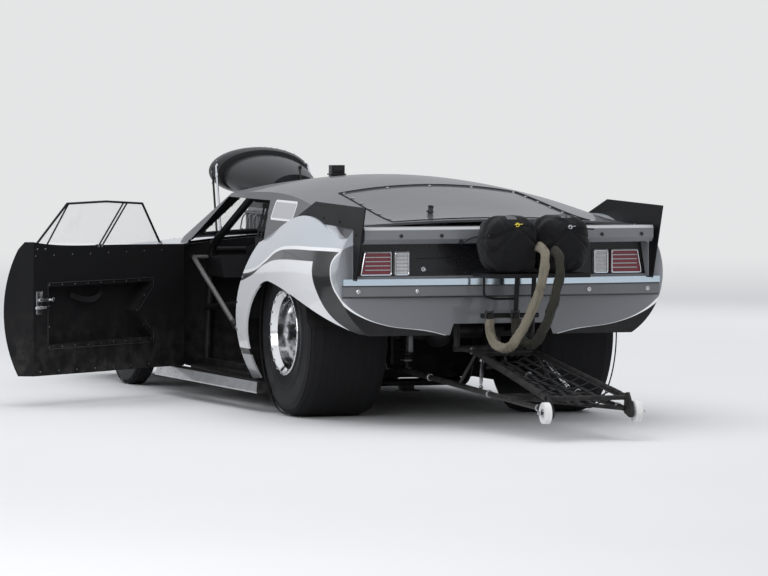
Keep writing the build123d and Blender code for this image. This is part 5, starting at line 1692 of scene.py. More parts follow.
@dataclass
class WheelieBars:
    """Net, tape, brackets, struts and roller details of the wheelie bars.

    Attributes:
        front: Where an upper tube starts, on the left side.
        rear: Where it ends.
        sag: How far the net hangs down in its middle.
        strap: Width of the net's webbing.
    """

    works: Works
    front: Point = (-0.940, 0.152, 0.376)
    rear: Point = (-2.145, 0.206, 0.205)
    lower_front: Point = (-0.055, 0.290, 0.255)
    lower_rear: Point = (-2.135, 0.202, 0.150)
    sag: float = 0.042
    strap: float = 0.021

    def build(self) -> None:
        """Build the pieces."""
        self.net()
        for side in Side:
            self.tape(side)
            self.bracket(side)
            self.roller(side)
        self.struts()

    def along(self, start: Point, end: Point, x: float) -> Vector:
        """Give the point of a run at a place along the car."""
        share = (x - start[0]) / (end[0] - start[0])
        return Vector(start).lerp(Vector(end), share)

    def net_point(self, x: float, share: float) -> Vector:
        """Give a point of the net, share running from -1 on the right to 1 on the left."""
        edge = self.along(self.front, self.rear, x)
        half = edge.y - 0.0155
        ripple = 0.004 * math.sin(x * 31.0 + share * 5.0) + 0.003 * math.sin(x * 17.0 - share * 9.0)
        return car(x, half * share, edge.z - 0.003 - self.sag * (1 - share * share) + ripple * (1 - abs(share)))

    def net(self) -> None:
        """Lace the net of black webbing between the upper tubes."""
        x0, x1, rows, columns = -1.036, -2.100, 9, 6
        straps, area = [], 0.0
        for k in range(columns + 1):
            share = -1 + 2 * k / columns
            share *= 0.985
            line = [self.net_point(x0 + (x1 - x0) * i / 48, share) for i in range(49)]
            straps.append(ribbon(line, [Vector((0, 1, 0))] * len(line), self.strap, 0.0028))
            area += self.strap * sum((b - a).length for a, b in zip(line, line[1:]))
        for k in range(rows + 1):
            x = x0 + (x1 - x0) * k / rows
            line = [self.net_point(x, -1 + 2 * i / 20) + Vector((0, 0, 0.0022)) for i in range(21)]
            straps.append(ribbon(line, [Vector((1, 0, 0))] * len(line), self.strap, 0.0028))
            area += self.strap * sum((b - a).length for a, b in zip(line, line[1:]))
        net = self.works.done(join(straps), "wheelie_bar_net", "webbing", slot="pack_cloth")
        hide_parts("wheelie_net")

    def tape(self, side: Side) -> None:
        """Wrap an upper tube in tape, with a spiral edge."""
        start, end = self.along(self.front, self.rear, -1.00), self.along(self.front, self.rear, -2.06)
        wrap, turns, steps = [], 26, 26 * 8
        a, b = car(*(start.x, side.value * start.y, start.z)), car(*(end.x, side.value * end.y, end.z))
        run = (b - a).normalized()
        across = run.cross(Vector((0, 0, 1))).normalized()
        up = across.cross(run)
        for i in range(steps + 1):
            angle = 2 * math.pi * turns * i / steps
            wrap.append(a.lerp(b, i / steps) + (across * math.cos(angle) + up * math.sin(angle)) * 0.0148)
        spiral = bent_bar(wrap, 0.0021, ring=1)
        sleeve = disc(0.0155, (b - a).length, a, run, 20)
        self.works.done(join([spiral, sleeve]), f"{side.word}_bar_wrap", "tape")

    def bracket(self, side: Side) -> None:
        """Set the roller's axle bolt and the jam nuts along the lower bar."""
        s = side.value
        axle = car(-2.2, s * 0.262, 0.140)
        out = Vector((0, s, 0))
        nut = join([disc(0.011, 0.009, axle, out, 6, 0.001), disc(0.0055, 0.016, axle, out, 12, 0.0005),
                    disc(0.012, 0.004, car(-2.2, s * 0.2185, 0.140), out, 16, 0.0005)])
        self.works.done(nut, f"{side.word}_roller_bolt", "bolt_steel")
        clamps = [disc(0.0185, 0.016, car(*self.on_side(self.along(self.lower_front, self.lower_rear, x), s)),
                       Vector(car(*self.on_side(Vector(self.lower_rear), s))) - Vector(car(*self.on_side(Vector(self.lower_front), s))),
                       20, 0.003) for x in (-0.62, -1.40, -2.02)]
        self.works.done(join(clamps), f"{side.word}_bar_jam_nuts", "bolt_steel")

    def on_side(self, place: Vector, s: int) -> tuple[float, float, float]:
        """Move a place of the left side to either side."""
        return place.x, s * place.y, place.z

    def roller(self, side: Side) -> None:
        """Give a roller its hub, its bearing and the tread's two edges."""
        s, body = side.value, f"{side.word}_wheelie_roller"
        middle = car(-2.2, s * 0.235, 0.140)
        rings = [hoop(0.0475, 0.0045, middle + Vector((0, s * side_y, 0)), Vector((0, 1, 0)), 40, 8) for side_y in (0.0125, -0.0125)]
        hub = disc(0.022, 0.036, middle - Vector((0, 0.018, 0)), Vector((0, 1, 0)), 24, 0.002)
        self.works.done(join(rings), f"{side.word}_roller_tread", "roller_white", body, "white_plastic")
        self.works.done(hub, f"{side.word}_roller_bearing", "bolt_steel", body)

    def struts(self) -> None:
        """Hang the two bright adjuster struts between the bars, with their rod ends."""
        for side in Side:
            s = side.value
            top = self.along(self.front, self.rear, -1.10)
            foot = self.along(self.lower_front, self.lower_rear, -1.30)
            a, b = car(*self.on_side(top, s)), car(*self.on_side(foot, s))
            run = (b - a)
            strut = join([disc(0.007, run.length - 0.05, a + run.normalized() * 0.025, run, 16, 0.001),
                          disc(0.010, run.length * 0.45, a + run * 0.28, run, 6, 0.001),
                          disc(0.011, 0.014, a + run.normalized() * 0.022, run, 12, 0.002),
                          disc(0.011, 0.014, b - run.normalized() * 0.036, run, 12, 0.002)])
            self.works.done(strut, f"{side.word}_bar_adjuster", "bright_alloy")


@dataclass
class WheelTrim:
    """Beadlock bolts, wheel nuts, centre caps and sidewall ribs of the four wheels.

    Attributes:
        rear_radius: Radius of the rear rim's edge.
        front_radius: Radius of the front rim's edge.
    """

    works: Works
    rear_radius: float = 0.221
    front_radius: float = 0.202

    def build(self) -> None:
        """Dress the wheels."""
        for side in Side:
            s = side.value
            self.wheel(side, "rear", Vector(car(0.0, s * 0.614, 0.430)), 0.220, self.rear_radius, 20, "rear_wheels", 0.430)
            self.wheel(side, "front", Vector(car(2.921, s * 0.748, 0.330)), 0.060, self.front_radius, 12,
                       f"{side.word}_front_wheel", 0.330)
            self.brake(side)

    def wheel(self, side: Side, end: str, middle: Vector, half: float, rim: float, bolts: int, body: str,
              tyre: float) -> None:
        """Dress one wheel.

        Args:
            side: Its side of the car.
            end: Which axle it is on.
            middle: Its centre.
            half: Half the width over the rim.
            rim: Radius of the rim's edge.
            bolts: How many beadlock bolts it has.
            body: The CAD body that it turns with.
            tyre: Radius of the tyre.
        """
        out = Vector((0, side.value, 0))
        face = middle + out * half
        spots = []
        for i in range(bolts):
            angle = 2 * math.pi * (i + 0.5) / bolts
            spots.append(aim(out, face + Vector((math.cos(angle), 0, math.sin(angle))) * (rim - 0.0105) + out * 0.0005))
        self.works.done(spread(dome_bolt(0.0062, 0.006), spots), f"{side.word}_{end}_beadlock_bolts", "bolt_steel", body)
        inner = middle + out * (0.061 if end == "rear" else 0.021)
        rings = [hoop(rim - 0.006, 0.0042, face - out * 0.001, out, 72, 8)]
        rings.append(hoop(rim * 0.84, 0.004, inner + out * 0.001, out, 64, 6))
        self.works.done(join(rings), f"{side.word}_{end}_rim_lips", "polished_rim", body, "polished_rim")
        nuts = []
        for i in range(5):
            angle = 2 * math.pi * i / 5 + 0.3
            spot = inner + Vector((math.cos(angle), 0, math.sin(angle))) * (0.0635 if end == "rear" else 0.054)
            nuts.append(aim(out, spot - out * 0.002))
        self.works.done(spread(self.wheel_nut(0.011 if end == "rear" else 0.009), nuts), f"{side.word}_{end}_wheel_nuts",
                        "bolt_steel", body)
        cap_start = middle + out * (0.095 if end == "rear" else 0.040)
        cap_radius = 0.036 if end == "rear" else 0.030
        cap = join([disc(cap_radius, 0.012, cap_start, out, 32, 0.004),
                    disc(cap_radius * 0.55, 0.007, cap_start + out * 0.011, out, 24, 0.002)])
        self.works.done(cap, f"{side.word}_{end}_centre_cap", "bright_alloy", body)
        ribs = []
        width = half - 0.004
        for share, thick in ((0.30, 0.0030), (0.36, 0.0022), (0.93, 0.0035)):
            r = rim + (tyre - rim) * share
            bulge = 0.0 if share < 0.5 else (0.002 if end == "rear" else 0.006)
            ribs.append(hoop(r, thick, middle + out * (width - bulge - thick * 0.35), out, 96, 6))
        self.works.done(join(ribs), f"{side.word}_{end}_sidewall_ribs", "slick_rubber", body, "tyre_rubber")

    def wheel_nut(self, radius: float) -> bpy.types.Object:
        """Make a wheel nut with its open end, standing on the origin."""
        nut = disc(radius, radius * 1.9, Vector((0, 0, 0)), Vector((0, 0, 1)), 6, radius * 0.12)
        stud = disc(radius * 0.52, radius * 2.6, Vector((0, 0, 0)), Vector((0, 0, 1)), 12, radius * 0.08)
        collar = disc(radius * 1.35, radius * 0.4, Vector((0, 0, 0)), Vector((0, 0, 1)), 20, radius * 0.1)
        return join([nut, stud, collar])

    def brake(self, side: Side) -> None:
        """Set the rear calipers and discs between the tubs and the housing, and the front calipers."""
        s = side.value
        middle = car(0.0, s * 0.357, 0.430)
        out = Vector((0, s, 0))
        plate = disc(0.142, 0.010, middle, out, 64, 0.001)
        hat = disc(0.060, 0.034, middle, out, 32, 0.003)
        self.works.done(join([plate, hat]), f"{side.word}_rear_brake_disc", "disc_iron", "rear_wheels")
        caliper = rounded_box((0.070, 0.042, 0.110), middle + Vector((0.128, s * 0.004, -0.015)), 0.008, 3)
        bridge = rounded_box((0.030, 0.080, 0.040), middle + Vector((0.150, s * -0.030, -0.015)), 0.006)
        feed = bent_bar([middle + Vector((0.150, -s * 0.05, 0.02)), middle + Vector((0.16, -s * 0.09, 0.08)),
                         middle + Vector((0.10, -s * 0.13, 0.10)), middle + Vector((0.03, -s * 0.16, 0.05))], 0.004, ring=2)
        cut = rounded_box((0.196, 0.018, 0.40), middle + Vector((0.05, s * 0.005, 0.0)), 0.001)
        shape_with(caliper, "BOOLEAN", operation="DIFFERENCE", object=cut, solver="EXACT")
        bpy.data.objects.remove(cut)
        self.works.done(join([caliper, bridge]), f"{side.word}_rear_caliper", "cast_alloy")
        self.works.done(feed, f"{side.word}_rear_brake_pipe", "bright_alloy")
        front = car(2.921, s * (0.640 + 0.051), 0.330)
        pad = rounded_box((0.060, 0.046, 0.105), front + Vector((-0.142, 0, 0.03)), 0.008, 3)
        slot = rounded_box((0.30, 0.016, 0.40), front, 0.001)
        shape_with(pad, "BOOLEAN", operation="DIFFERENCE", object=slot, solver="EXACT")
        bpy.data.objects.remove(slot)
        arm = rounded_box((0.020, 0.020, 0.060), front + Vector((-0.140, -s * 0.030, -0.01)), 0.003)
        link = bent_bar([front + Vector((-0.140, -s * 0.034, -0.02)), front + Vector((-0.07, -s * 0.044, -0.02)),
                         front + Vector((-0.020, -s * 0.040, -0.02))], 0.009, ring=3)
        self.works.done(join([pad, arm, link]), f"{side.word}_front_caliper", "cast_alloy", f"{side.word}_steering_knuckle")


@dataclass
class Induction:
    """Details of the injector scoop and the blower: rivets, butterflies, linkage, belt and hoses.

    Attributes:
        lip_x: Rear edge of the scoop's mouth band.
    """

    works: Works
    lip_x: float = 2.955

    def build(self) -> None:
        """Build the pieces."""
        self.lip()
        self.butterflies()
        self.linkage()
        self.belt()
        self.hoses()

    def lip(self) -> None:
        """Set the rivets round the scoop's mouth band."""
        spots = []
        for i in range(28):
            angle = 2 * math.pi * i / 28
            way = Vector((0, -math.cos(angle), -math.sin(angle)))
            start = car(self.lip_x, 0, 1.177) - way * 0.5
            spot = self.works.skin.hit("injector_scoop", start, way)
            if spot is not None:
                spots.append(spot)
        self.works.done(spread(dome_bolt(0.0045, 0.0025), spots), "scoop_lip_rivets", "bolt_steel")
        band = [Vector(car(3.009, 0.281 * math.cos(2 * math.pi * i / 64), 1.1785 + 0.1295 * math.sin(2 * math.pi * i / 64)))
                for i in range(65)]
        self.works.done(bent_bar(band, 0.0045, smooth=False, ring=2), "scoop_mouth_bead", "carbon", slot="black_carbon")

    def butterflies(self) -> None:
        """Set the throttle plates' bar and three butterflies across the throat."""
        plates = []
        for y in (-0.075, 0.0, 0.075):
            plates.append(disc(0.034, 0.003, car(2.395, y, 1.095), Vector((1, 0, 0.25)), 28, 0.0008))
        plates.append(disc(0.005, 0.235, car(2.392, -0.1175, 1.095), Vector((0, 1, 0)), 12, 0.001))
        self.works.done(join(plates), "throttle_butterflies", "bright_alloy")

    def linkage(self) -> None:
        """Set the throttle lever and its rod behind the scoop, and the turnbuckles that stay its lip."""
        lever = join([rounded_box((0.014, 0.007, 0.085), car(2.336, -0.030, 1.178), 0.002),
                      disc(0.011, 0.013, car(2.336, -0.036, 1.215), Vector((0, 1, 0)), 16, 0.001),
                      disc(0.012, 0.014, car(2.336, -0.037, 1.145), Vector((0, 1, 0)), 16, 0.001)])
        self.works.done(lever, "throttle_lever", "black_bolt")
        rod = bent_bar([car(2.336, -0.020, 1.215), car(2.28, -0.018, 1.16), car(2.26, -0.016, 1.04), car(2.25, -0.014, 0.90)],
                       0.0045, ring=2)
        self.works.done(rod, "throttle_rod", "black_bolt")
        stays = []
        for side in Side:
            out = Vector((0, -side.value, 0))
            top = self.works.skin.hit("injector_scoop", car(2.925, side.value * 0.6, 1.212), out)
            foot = self.works.skin.hit("hood", car(2.74, side.value * 0.300, 1.10), Vector((0, 0, -1)))
            if top is None or foot is None:
                continue
            head, base = top.translation - out * 0.006, foot.translation
            stays.append(bent_bar([head, base], 0.0065, smooth=False, ring=3))
            for share in (0.12, 0.88):
                stays.append(disc(0.0095, 0.022, head.lerp(base, share), (base - head).normalized(), 6, 0.001))
            stays.append(disc(0.012, 0.006, top.translation, -out, 16, 0.001))
            stays.append(disc(0.014, 0.006, base, Vector((0, 0, 1)), 16, 0.001))
        self.works.done(join(stays), "scoop_turnbuckles", "chrome")

    def belt(self) -> None:
        """Run the toothed blower belt round its pulley and down to the crank."""
        x, width = 2.843, 0.034
        top, foot, r0, r1 = Vector((0, 0.800)), Vector((0, 0.420)), 0.0745, 0.085
        line, across = [], []
        steps = 24
        for i in range(steps + 1):
            angle = math.pi * i / steps
            line.append(car(x, math.cos(angle) * r0, top.y + math.sin(angle) * r0))
        for i in range(steps + 1):
            angle = math.pi + math.pi * i / steps
            line.append(car(x, math.cos(angle) * r1, foot.y + math.sin(angle) * r1))
        line.append(line[0])
        across = [Vector((1, 0, 0))] * len(line)
        belt = ribbon(line, across, width, 0.006)
        self.works.done(belt, "blower_belt", "belt_rubber")
        crank = join([disc(0.082, 0.040, car(2.823, 0, 0.420), Vector((1, 0, 0)), 48, 0.002),
                      disc(0.030, 0.125, car(2.702, 0, 0.420), Vector((1, 0, 0)), 24, 0.002),
                      disc(0.018, 0.020, car(2.863, 0, 0.420), Vector((1, 0, 0)), 6, 0.002)])
        self.works.done(crank, "crank_pulley", "cast_alloy")
        flange = join([disc(0.080, 0.003, car(2.823, 0, 0.800), Vector((1, 0, 0)), 48, 0.001),
                       disc(0.080, 0.003, car(2.860, 0, 0.800), Vector((1, 0, 0)), 48, 0.001),
                       disc(0.020, 0.012, car(2.862, 0, 0.800), Vector((1, 0, 0)), 6, 0.001)])
        self.works.done(flange, "blower_pulley_flanges", "bright_alloy")

    def hoses(self) -> None:
        """Run the fuel pipes along the blower's sides to their nozzles."""
        pipes = []
        for side in Side:
            s = side.value
            for i in range(4):
                x = 2.44 + 0.10 * i
                pipes.append(bent_bar([car(x, s * 0.136, 0.955), car(x, s * 0.165, 0.950), car(x + 0.01, s * 0.178, 0.90),
                                       car(x + 0.02, s * 0.185, 0.80), car(x + 0.02, s * 0.205, 0.712)], 0.0042, ring=2))
                pipes.append(disc(0.008, 0.016, car(x, s * 0.132, 0.955), Vector((0, s, 0)), 6, 0.001))
            pipes.append(bent_bar([car(2.40, s * 0.150, 0.957), car(2.60, s * 0.152, 0.958), car(2.77, s * 0.150, 0.957)],
                                  0.0065, ring=3))
        self.works.done(join(pipes), "fuel_pipes", "braided_hose")


@dataclass
class Doors:
    """Trim on both doors: window sheets, recess rivets, latch, pull strap, clips and edge studs.

    Each piece is placed as on a shut door. On the left door it is then swung open with it.

    Attributes:
        inner_y: The door's inner face.
    """

    works: Works
    inner_y: float = 0.735

    def build(self) -> None:
        """Dress both doors."""
        for side in Side:
            self.window(side)
            self.inner_face(side)
            self.latch(side)
            self.straps(side)

    def fit(self, piece: bpy.types.Object, side: Side, name: str, finish: str, slot: str = "") -> bpy.types.Object:
        """Swing a piece of the left door open and hand it over to its door."""
        if side is Side.LEFT:
            hinge = Vector((HINGE.x - PAD_X, HINGE.y, 0))
            piece.data.transform(Matrix.Translation(hinge) @ Matrix.Rotation(-DOOR_OPEN, 4, "Z")
                                 @ Matrix.Translation(-hinge))
        return self.works.done(piece, f"{side.word}_{name}", finish, f"{side.word}_door_assembly", slot)

    def lean(self, z: float) -> float:
        """Give the window's half width at a height."""
        return 0.752 - 0.080 * (z - 0.805) / 0.261

    def window(self, side: Side) -> None:
        """Set the clear sheet inside the window frame."""
        s = side.value
        outline = [(1.768, 0.822), (1.500, 1.040), (1.180, 1.058), (0.856, 1.054), (0.684, 0.862)]
        deselect_all()
        bpy.ops.mesh.primitive_circle_add(vertices=len(outline), radius=1.0, fill_type="NGON")
        sheet = bpy.context.object
        for vertex, (x, z) in zip(sheet.data.vertices, outline):
            vertex.co = car(x, s * self.lean(z), z)
        shape_with(sheet, "SOLIDIFY", thickness=0.0025, offset=0.0)
        self.fit(outwards(sheet), side, "door_window", "clear_sheet", "clear_sheet")

    def inner_face(self, side: Side) -> None:
        """Put the rivets round the recess and along the door's edge, and a bead round the recess."""
        s, spots = side.value, []
        recess = [(0.775, 0.310), (0.775, 0.635), (1.655, 0.635), (1.525, 0.476), (1.655, 0.320)]
        for (xa, za), (xb, zb) in zip(recess, recess[1:] + recess[:1]):
            count = max(2, round(math.hypot(xb - xa, zb - za) / 0.11))
            for i in range(count):
                t = i / count
                spots.append((xa + (xb - xa) * t, za + (zb - za) * t))
        spots += [(0.66 + 0.155 * i, 0.790) for i in range(8)] + [(0.70 + 0.155 * i, 0.185) for i in range(8)]
        skin = self.works.skin
        moves = []
        for x, z in spots:
            start = car(x, s * (self.inner_y - 0.2), z)
            way = Vector((0, s, 0))
            if side is Side.LEFT:
                moves.append(aim(-way, car(x, s * self.inner_y, z)))
            else:
                spot = skin.hit("right_door", start, way)
                if spot is not None:
                    moves.append(spot)
        self.fit(spread(dome_bolt(0.0042, 0.0022), moves), side, "door_rivets", "bolt_steel")
        frame = [(0.764, 0.300), (0.764, 0.646), (1.672, 0.646), (1.672, 0.600), (1.540, 0.476), (1.672, 0.352), (1.672, 0.300)]
        bead = [car(x, s * (self.inner_y - 0.001), z) for x, z in frame + frame[:1]]
        self.fit(bent_bar(bead, 0.0035, smooth=False, ring=2), side, "door_recess_bead", "carbon", "black_carbon")

    def latch(self, side: Side) -> None:
        """Set the latch plate, its bolt and the release lever by the door's rear edge."""
        s = side.value
        plate = rounded_box((0.052, 0.006, 0.120), car(0.690, s * (self.inner_y - 0.003), 0.545), 0.002)
        lever = rounded_box((0.115, 0.010, 0.016), car(0.735, s * (self.inner_y - 0.011), 0.560), 0.004)
        bolt = disc(0.008, 0.085, car(0.735, s * (self.inner_y - 0.012), 0.520), Vector((-1, 0, 0)), 16, 0.002)
        knob = disc(0.012, 0.014, car(0.780, s * (self.inner_y - 0.014), 0.560), Vector((0, -s, 0)), 20, 0.003)
        self.fit(join([plate, lever, bolt, knob]), side, "door_latch", "bright_alloy")

    def straps(self, side: Side) -> None:
        """Hang the pull strap in the recess and clip the window frame's feet to the door."""
        s = side.value
        line = [car(1.02 + 0.045 * i, s * (self.inner_y + 0.058 - 0.030 * math.sin(math.pi * i / 6)), 0.575 - 0.03 * math.sin(math.pi * i / 6))
                for i in range(7)]
        strap = ribbon(line, [Vector((0, 0, 1))] * len(line), 0.030, 0.003)
        ends = [disc(0.009, 0.012, line[k], Vector((0, -s, 0)), 16, 0.002) for k in (0, -1)]
        self.fit(join([strap] + ends), side, "door_pull", "webbing", "pack_cloth")
        clips = []
        for x in (1.742, 1.225, 1.195, 0.742, 0.675):
            clips.append(rounded_box((0.026, 0.010, 0.034), car(x, s * (self.lean(0.82) - 0.004), 0.822), 0.002))
            clips.append(disc(0.006, 0.008, car(x, s * (self.lean(0.82) - 0.009), 0.826), Vector((0, -s, 0)), 12, 0.001))
        self.fit(join(clips), side, "window_clips", "bright_alloy")


@dataclass
class Cabin:
    """What shows through the open door and the windshield: seat pads, harness, dials, levers and padding.

    Attributes:
        seat_y: Middle of the driver's seat.
    """

    works: Works
    seat_y: float = 0.320

    def build(self) -> None:
        """Build the pieces."""
        self.pads()
        self.harness()
        self.dials()
        self.levers()
        self.cage_pads()
        self.bottle()
        self.pedals()
        self.window_net()
        self.side_bars()
        self.sill_skirts()

    def pad(self, size: Sequence[float], place: Vector, tilt: float, name: str) -> None:
        """Make one stuffed pad of the seat.

        Args:
            size: Its sizes along the axes.
            place: Its middle.
            tilt: Its turn about Y, in degrees.
            name: Its name.
        """
        deselect_all()
        bpy.ops.mesh.primitive_cube_add(size=1.0, location=(0, 0, 0), scale=size)
        pad = settle(bpy.context.object)
        bpy.ops.object.mode_set(mode="EDIT")
        bpy.ops.mesh.select_all(action="SELECT")
        bpy.ops.mesh.subdivide(number_cuts=5)
        bpy.ops.object.mode_set(mode="OBJECT")
        for vertex in pad.data.vertices:
            u, v, w = (2 * vertex.co[i] / size[i] for i in range(3))
            crown = (1 - u * u) * (1 - v * v)
            vertex.co.z += 0.011 * crown * (1 if w > 0 else 0)
            vertex.co.x *= 1 - 0.05 * v * v
            vertex.co.y *= 1 - 0.05 * u * u
            channel = math.exp(-((v * 1.5 - round(v * 1.5)) / 0.13) ** 2)
            if w > 0.9:
                vertex.co.z -= 0.004 * channel
        pad.data.transform(Matrix.Translation(place) @ Matrix.Rotation(math.radians(tilt), 4, "Y"))
        shape_with(pad, "SUBSURF", levels=2, render_levels=2)
        self.works.done(pad, name, "seat_cloth", slot="seat_cloth", angle=60.0)

    def pads(self) -> None:
        """Set the seat's base, back and head pads into the bucket."""
        y = self.seat_y
        self.pad((0.26, 0.325, 0.034), car(1.125, y, 0.353), -6.8, "seat_base_pad")
        self.pad((0.40, 0.325, 0.036), car(0.945, y, 0.560), 101.0, "seat_back_pad")
        self.pad((0.11, 0.24, 0.034), car(0.896, y, 0.820), 101.0, "seat_head_pad")

    def harness(self) -> None:
        """Lay the five-point harness over the seat, with its latch."""
        y, straps = self.seat_y, []
        for s in (1, -1):
            line = [car(0.880, y + s * 0.070, 0.835), car(0.915, y + s * 0.075, 0.790), car(0.945, y + s * 0.080, 0.700),
                    car(0.985, y + s * 0.085, 0.560), car(1.020, y + s * 0.090, 0.440), car(1.080, y + s * 0.060, 0.392),
                    car(1.150, y + s * 0.020, 0.389)]
            straps.append(ribbon(line, [Vector((0, 1, 0))] * len(line), 0.048, 0.003))
            lap = [car(0.995, y + s * 0.150, 0.400), car(1.050, y + s * 0.120, 0.396), car(1.110, y + s * 0.070, 0.393),
                   car(1.160, y + s * 0.020, 0.391)]
            straps.append(ribbon(lap, [Vector((1, s * 0.5, 0))] * len(lap), 0.048, 0.003))
        self.works.done(join(straps), "harness_straps", "harness_red", slot="seat_cloth", angle=60.0)
        latch = join([rounded_box((0.060, 0.055, 0.012), car(1.160, y, 0.398), 0.003),
                      rounded_box((0.020, 0.070, 0.008), car(1.170, y, 0.406), 0.002)])
        adjusters = [rounded_box((0.030, 0.056, 0.010), car(1.000, y + s * 0.087, 0.505), 0.002) for s in (1, -1)]
        self.works.done(join([latch] + adjusters), "harness_latch", "bright_alloy")

    def dials(self) -> None:
        """Set the dials on the dash, with plain faces, rims and needles."""
        rims, faces, needles = [], [], []
        way = Vector((-1, 0, 0.25)).normalized()
        for y, z, r in ((0.320, 0.705, 0.044), (0.215, 0.700, 0.028), (0.425, 0.700, 0.028), (0.140, 0.698, 0.028),
                        (-0.05, 0.700, 0.022), (-0.12, 0.700, 0.022)):
            spot = self.works.skin.hit("dashboard", car(1.2, y, z), Vector((1, 0, 0)))
            place = spot.translation + Vector((-0.001, 0, 0))
            rims.append(hoop(r, 0.003, place + way * 0.010, way, 32, 6))
            rims.append(disc(r, 0.010, place, way, 32, 0.001))
            faces.append(disc(r * 0.92, 0.0015, place + way * 0.0096, way, 32))
            needles.append(rounded_box((0.0015, r * 0.09, r * 1.15), place + way * 0.0125 + Vector((0, 0, r * 0.12)), 0.0004))
        self.works.done(join(rims), "dial_rims", "bright_alloy")
        self.works.done(join(faces), "dial_faces", "dial_white")
        self.works.done(join(needles), "dial_needles", "red_enamel")
        switches = []
        for i in range(6):
            spot = self.works.skin.hit("dashboard", car(1.2, -0.20 - 0.04 * i, 0.665), Vector((1, 0, 0)))
            here = spot.translation
            switches.append(rounded_box((0.006, 0.024, 0.034), here + Vector((-0.002, 0, 0)), 0.001))
            switches.append(disc(0.0035, 0.022, here + Vector((-0.004, 0, 0)), Vector((-1, 0, 0.5 if i % 2 else -0.5)), 10, 0.001))
        self.works.done(join(switches), "dash_switches", "bright_alloy")

    def levers(self) -> None:
        """Stand the gear lever beside the seat, and the parachute and brake levers."""
        base = car(1.30, 0.0, 0.470)
        box = rounded_box((0.22, 0.10, 0.075), base + Vector((0, 0, 0.0385)), 0.010, 3)
        levers = [box]
        for i in range(3):
            foot = base + Vector((-0.06 + 0.06 * i, 0, 0.07))
            levers.append(disc(0.007, 0.145, foot, Vector((-0.10, 0, 1)), 16, 0.001))
            levers.append(disc(0.014, 0.030, foot + Vector((-0.0145, 0, 0.14)), Vector((-0.10, 0, 1)), 20, 0.006))
        self.works.done(join(levers), "gear_levers", "bright_alloy")
        pulls = []
        for y in (0.10, 0.16):
            pulls.append(bent_bar([car(1.68, y, 1.048), car(1.64, y, 1.02), car(1.58, y, 0.985)], 0.0065, ring=3))
            pulls.append(disc(0.012, 0.045, car(1.585, y, 0.988), Vector((-0.8, 0, -0.5)), 20, 0.005))
        mount = rounded_box((0.035, 0.12, 0.022), car(1.690, 0.13, 1.052), 0.004)
        bars = join(pulls + [mount])
        bars.data.transform(Matrix.Translation(Vector((-0.222, 0, -0.004))))
        self.works.done(bars, "parachute_levers", "red_enamel")

    def cage_pads(self) -> None:
        """Wrap foam round the cage near the driver's head and legs."""
        pads = []
        for start, end in ((car(0.72, 0.5395, 1.085), car(1.36, 0.5375, 1.085)), (car(0.660, 0.50, 1.085), car(0.660, 0.10, 1.085))):
            run = end - start
            pads.append(disc(0.031, run.length, start, run, 24, 0.006))
        door_bar = (car(0.80, 0.620, 0.5495), car(1.20, 0.620, 0.5223))
        pads.append(disc(0.027, (door_bar[1] - door_bar[0]).length, door_bar[0], door_bar[1] - door_bar[0], 24, 0.006))
        self.works.done(join(pads), "cage_padding", "foam_black", slot="seat_cloth")

    def bottle(self) -> None:
        """Strap the fire bottle to the floor behind the seat."""
        start = car(0.70, -0.36, 0.235)
        bottle = join([disc(0.066, 0.36, start, Vector((1, 0, 0)), 40, 0.026),
                       disc(0.018, 0.040, start + Vector((0.355, 0, 0)), Vector((1, 0, 0)), 16, 0.003)])
        self.works.done(bottle, "fire_bottle", "red_enamel")
        straps = [hoop(0.0675, 0.0035, start + Vector((x, 0, 0)), Vector((1, 0, 0)), 40, 6) for x in (0.08, 0.28)]
        feet = [rounded_box((0.028, 0.10, 0.014), start + Vector((x, 0, -0.0665)), 0.002) for x in (0.08, 0.28)]
        self.works.done(join(straps + feet), "fire_bottle_straps", "bright_alloy")
        ecu = join([rounded_box((0.20, 0.14, 0.045), car(1.25, -0.38, 0.1865), 0.006),
                    rounded_box((0.03, 0.10, 0.025), car(1.36, -0.38, 0.184), 0.004),
                    rounded_box((0.12, 0.20, 0.060), car(1.52, -0.36, 0.194), 0.008)])
        self.works.done(ecu, "control_boxes", "cast_alloy")

    def pedals(self) -> None:
        """Hang the throttle and brake pedals from the firewall."""
        pedals = []
        for y, width in ((0.22, 0.055), (0.37, 0.085)):
            pedals.append(rounded_box((0.010, width, 0.085), car(1.885, y, 0.330), 0.003))
            pedals.append(bent_bar([car(1.890, y, 0.345), car(1.905, y, 0.44), car(1.945, y, 0.56)], 0.009, ring=3))
            pedals.append(rounded_box((0.080, 0.030, 0.030), car(1.960, y, 0.570), 0.004))
        bridge = disc(0.010, 0.26, car(1.950, 0.17, 0.570), Vector((0, 1, 0)), 16, 0.002)
        posts = [bent_bar([car(1.955, y, 0.570), car(2.0395, y, 0.600)], 0.009, smooth=False, ring=3) for y in (0.19, 0.41)]
        self.works.done(join(pedals + [bridge] + posts), "pedals", "bright_alloy")

    def window_net(self) -> None:
        """Hang the window net between the cage's roof bar and its door bar, on the driver's side."""
        straps, area = [], 0.0
        for k in range(8):
            x = 0.765 + 0.060 * k
            line = [car(x, 0.548 + 0.052 * min(1.0, (1.060 - z) / 0.22), z) for z in [1.060 - 0.034 * i for i in range(11)]]
            straps.append(ribbon(line, [Vector((1, 0, 0))] * len(line), 0.026, 0.0024))
            area += 0.026 * 0.345
        for k in range(6):
            z = 1.040 - 0.060 * k
            line = [car(0.750 + 0.0455 * i, 0.548 + 0.052 * min(1.0, (1.060 - z) / 0.22) + 0.0024, z) for i in range(11)]
            straps.append(ribbon(line, [Vector((0, 0, 1))] * len(line), 0.026, 0.0024))
            area += 0.026 * 0.455
        net = self.works.done(join(straps), "window_net", "webbing", slot="seat_cloth")

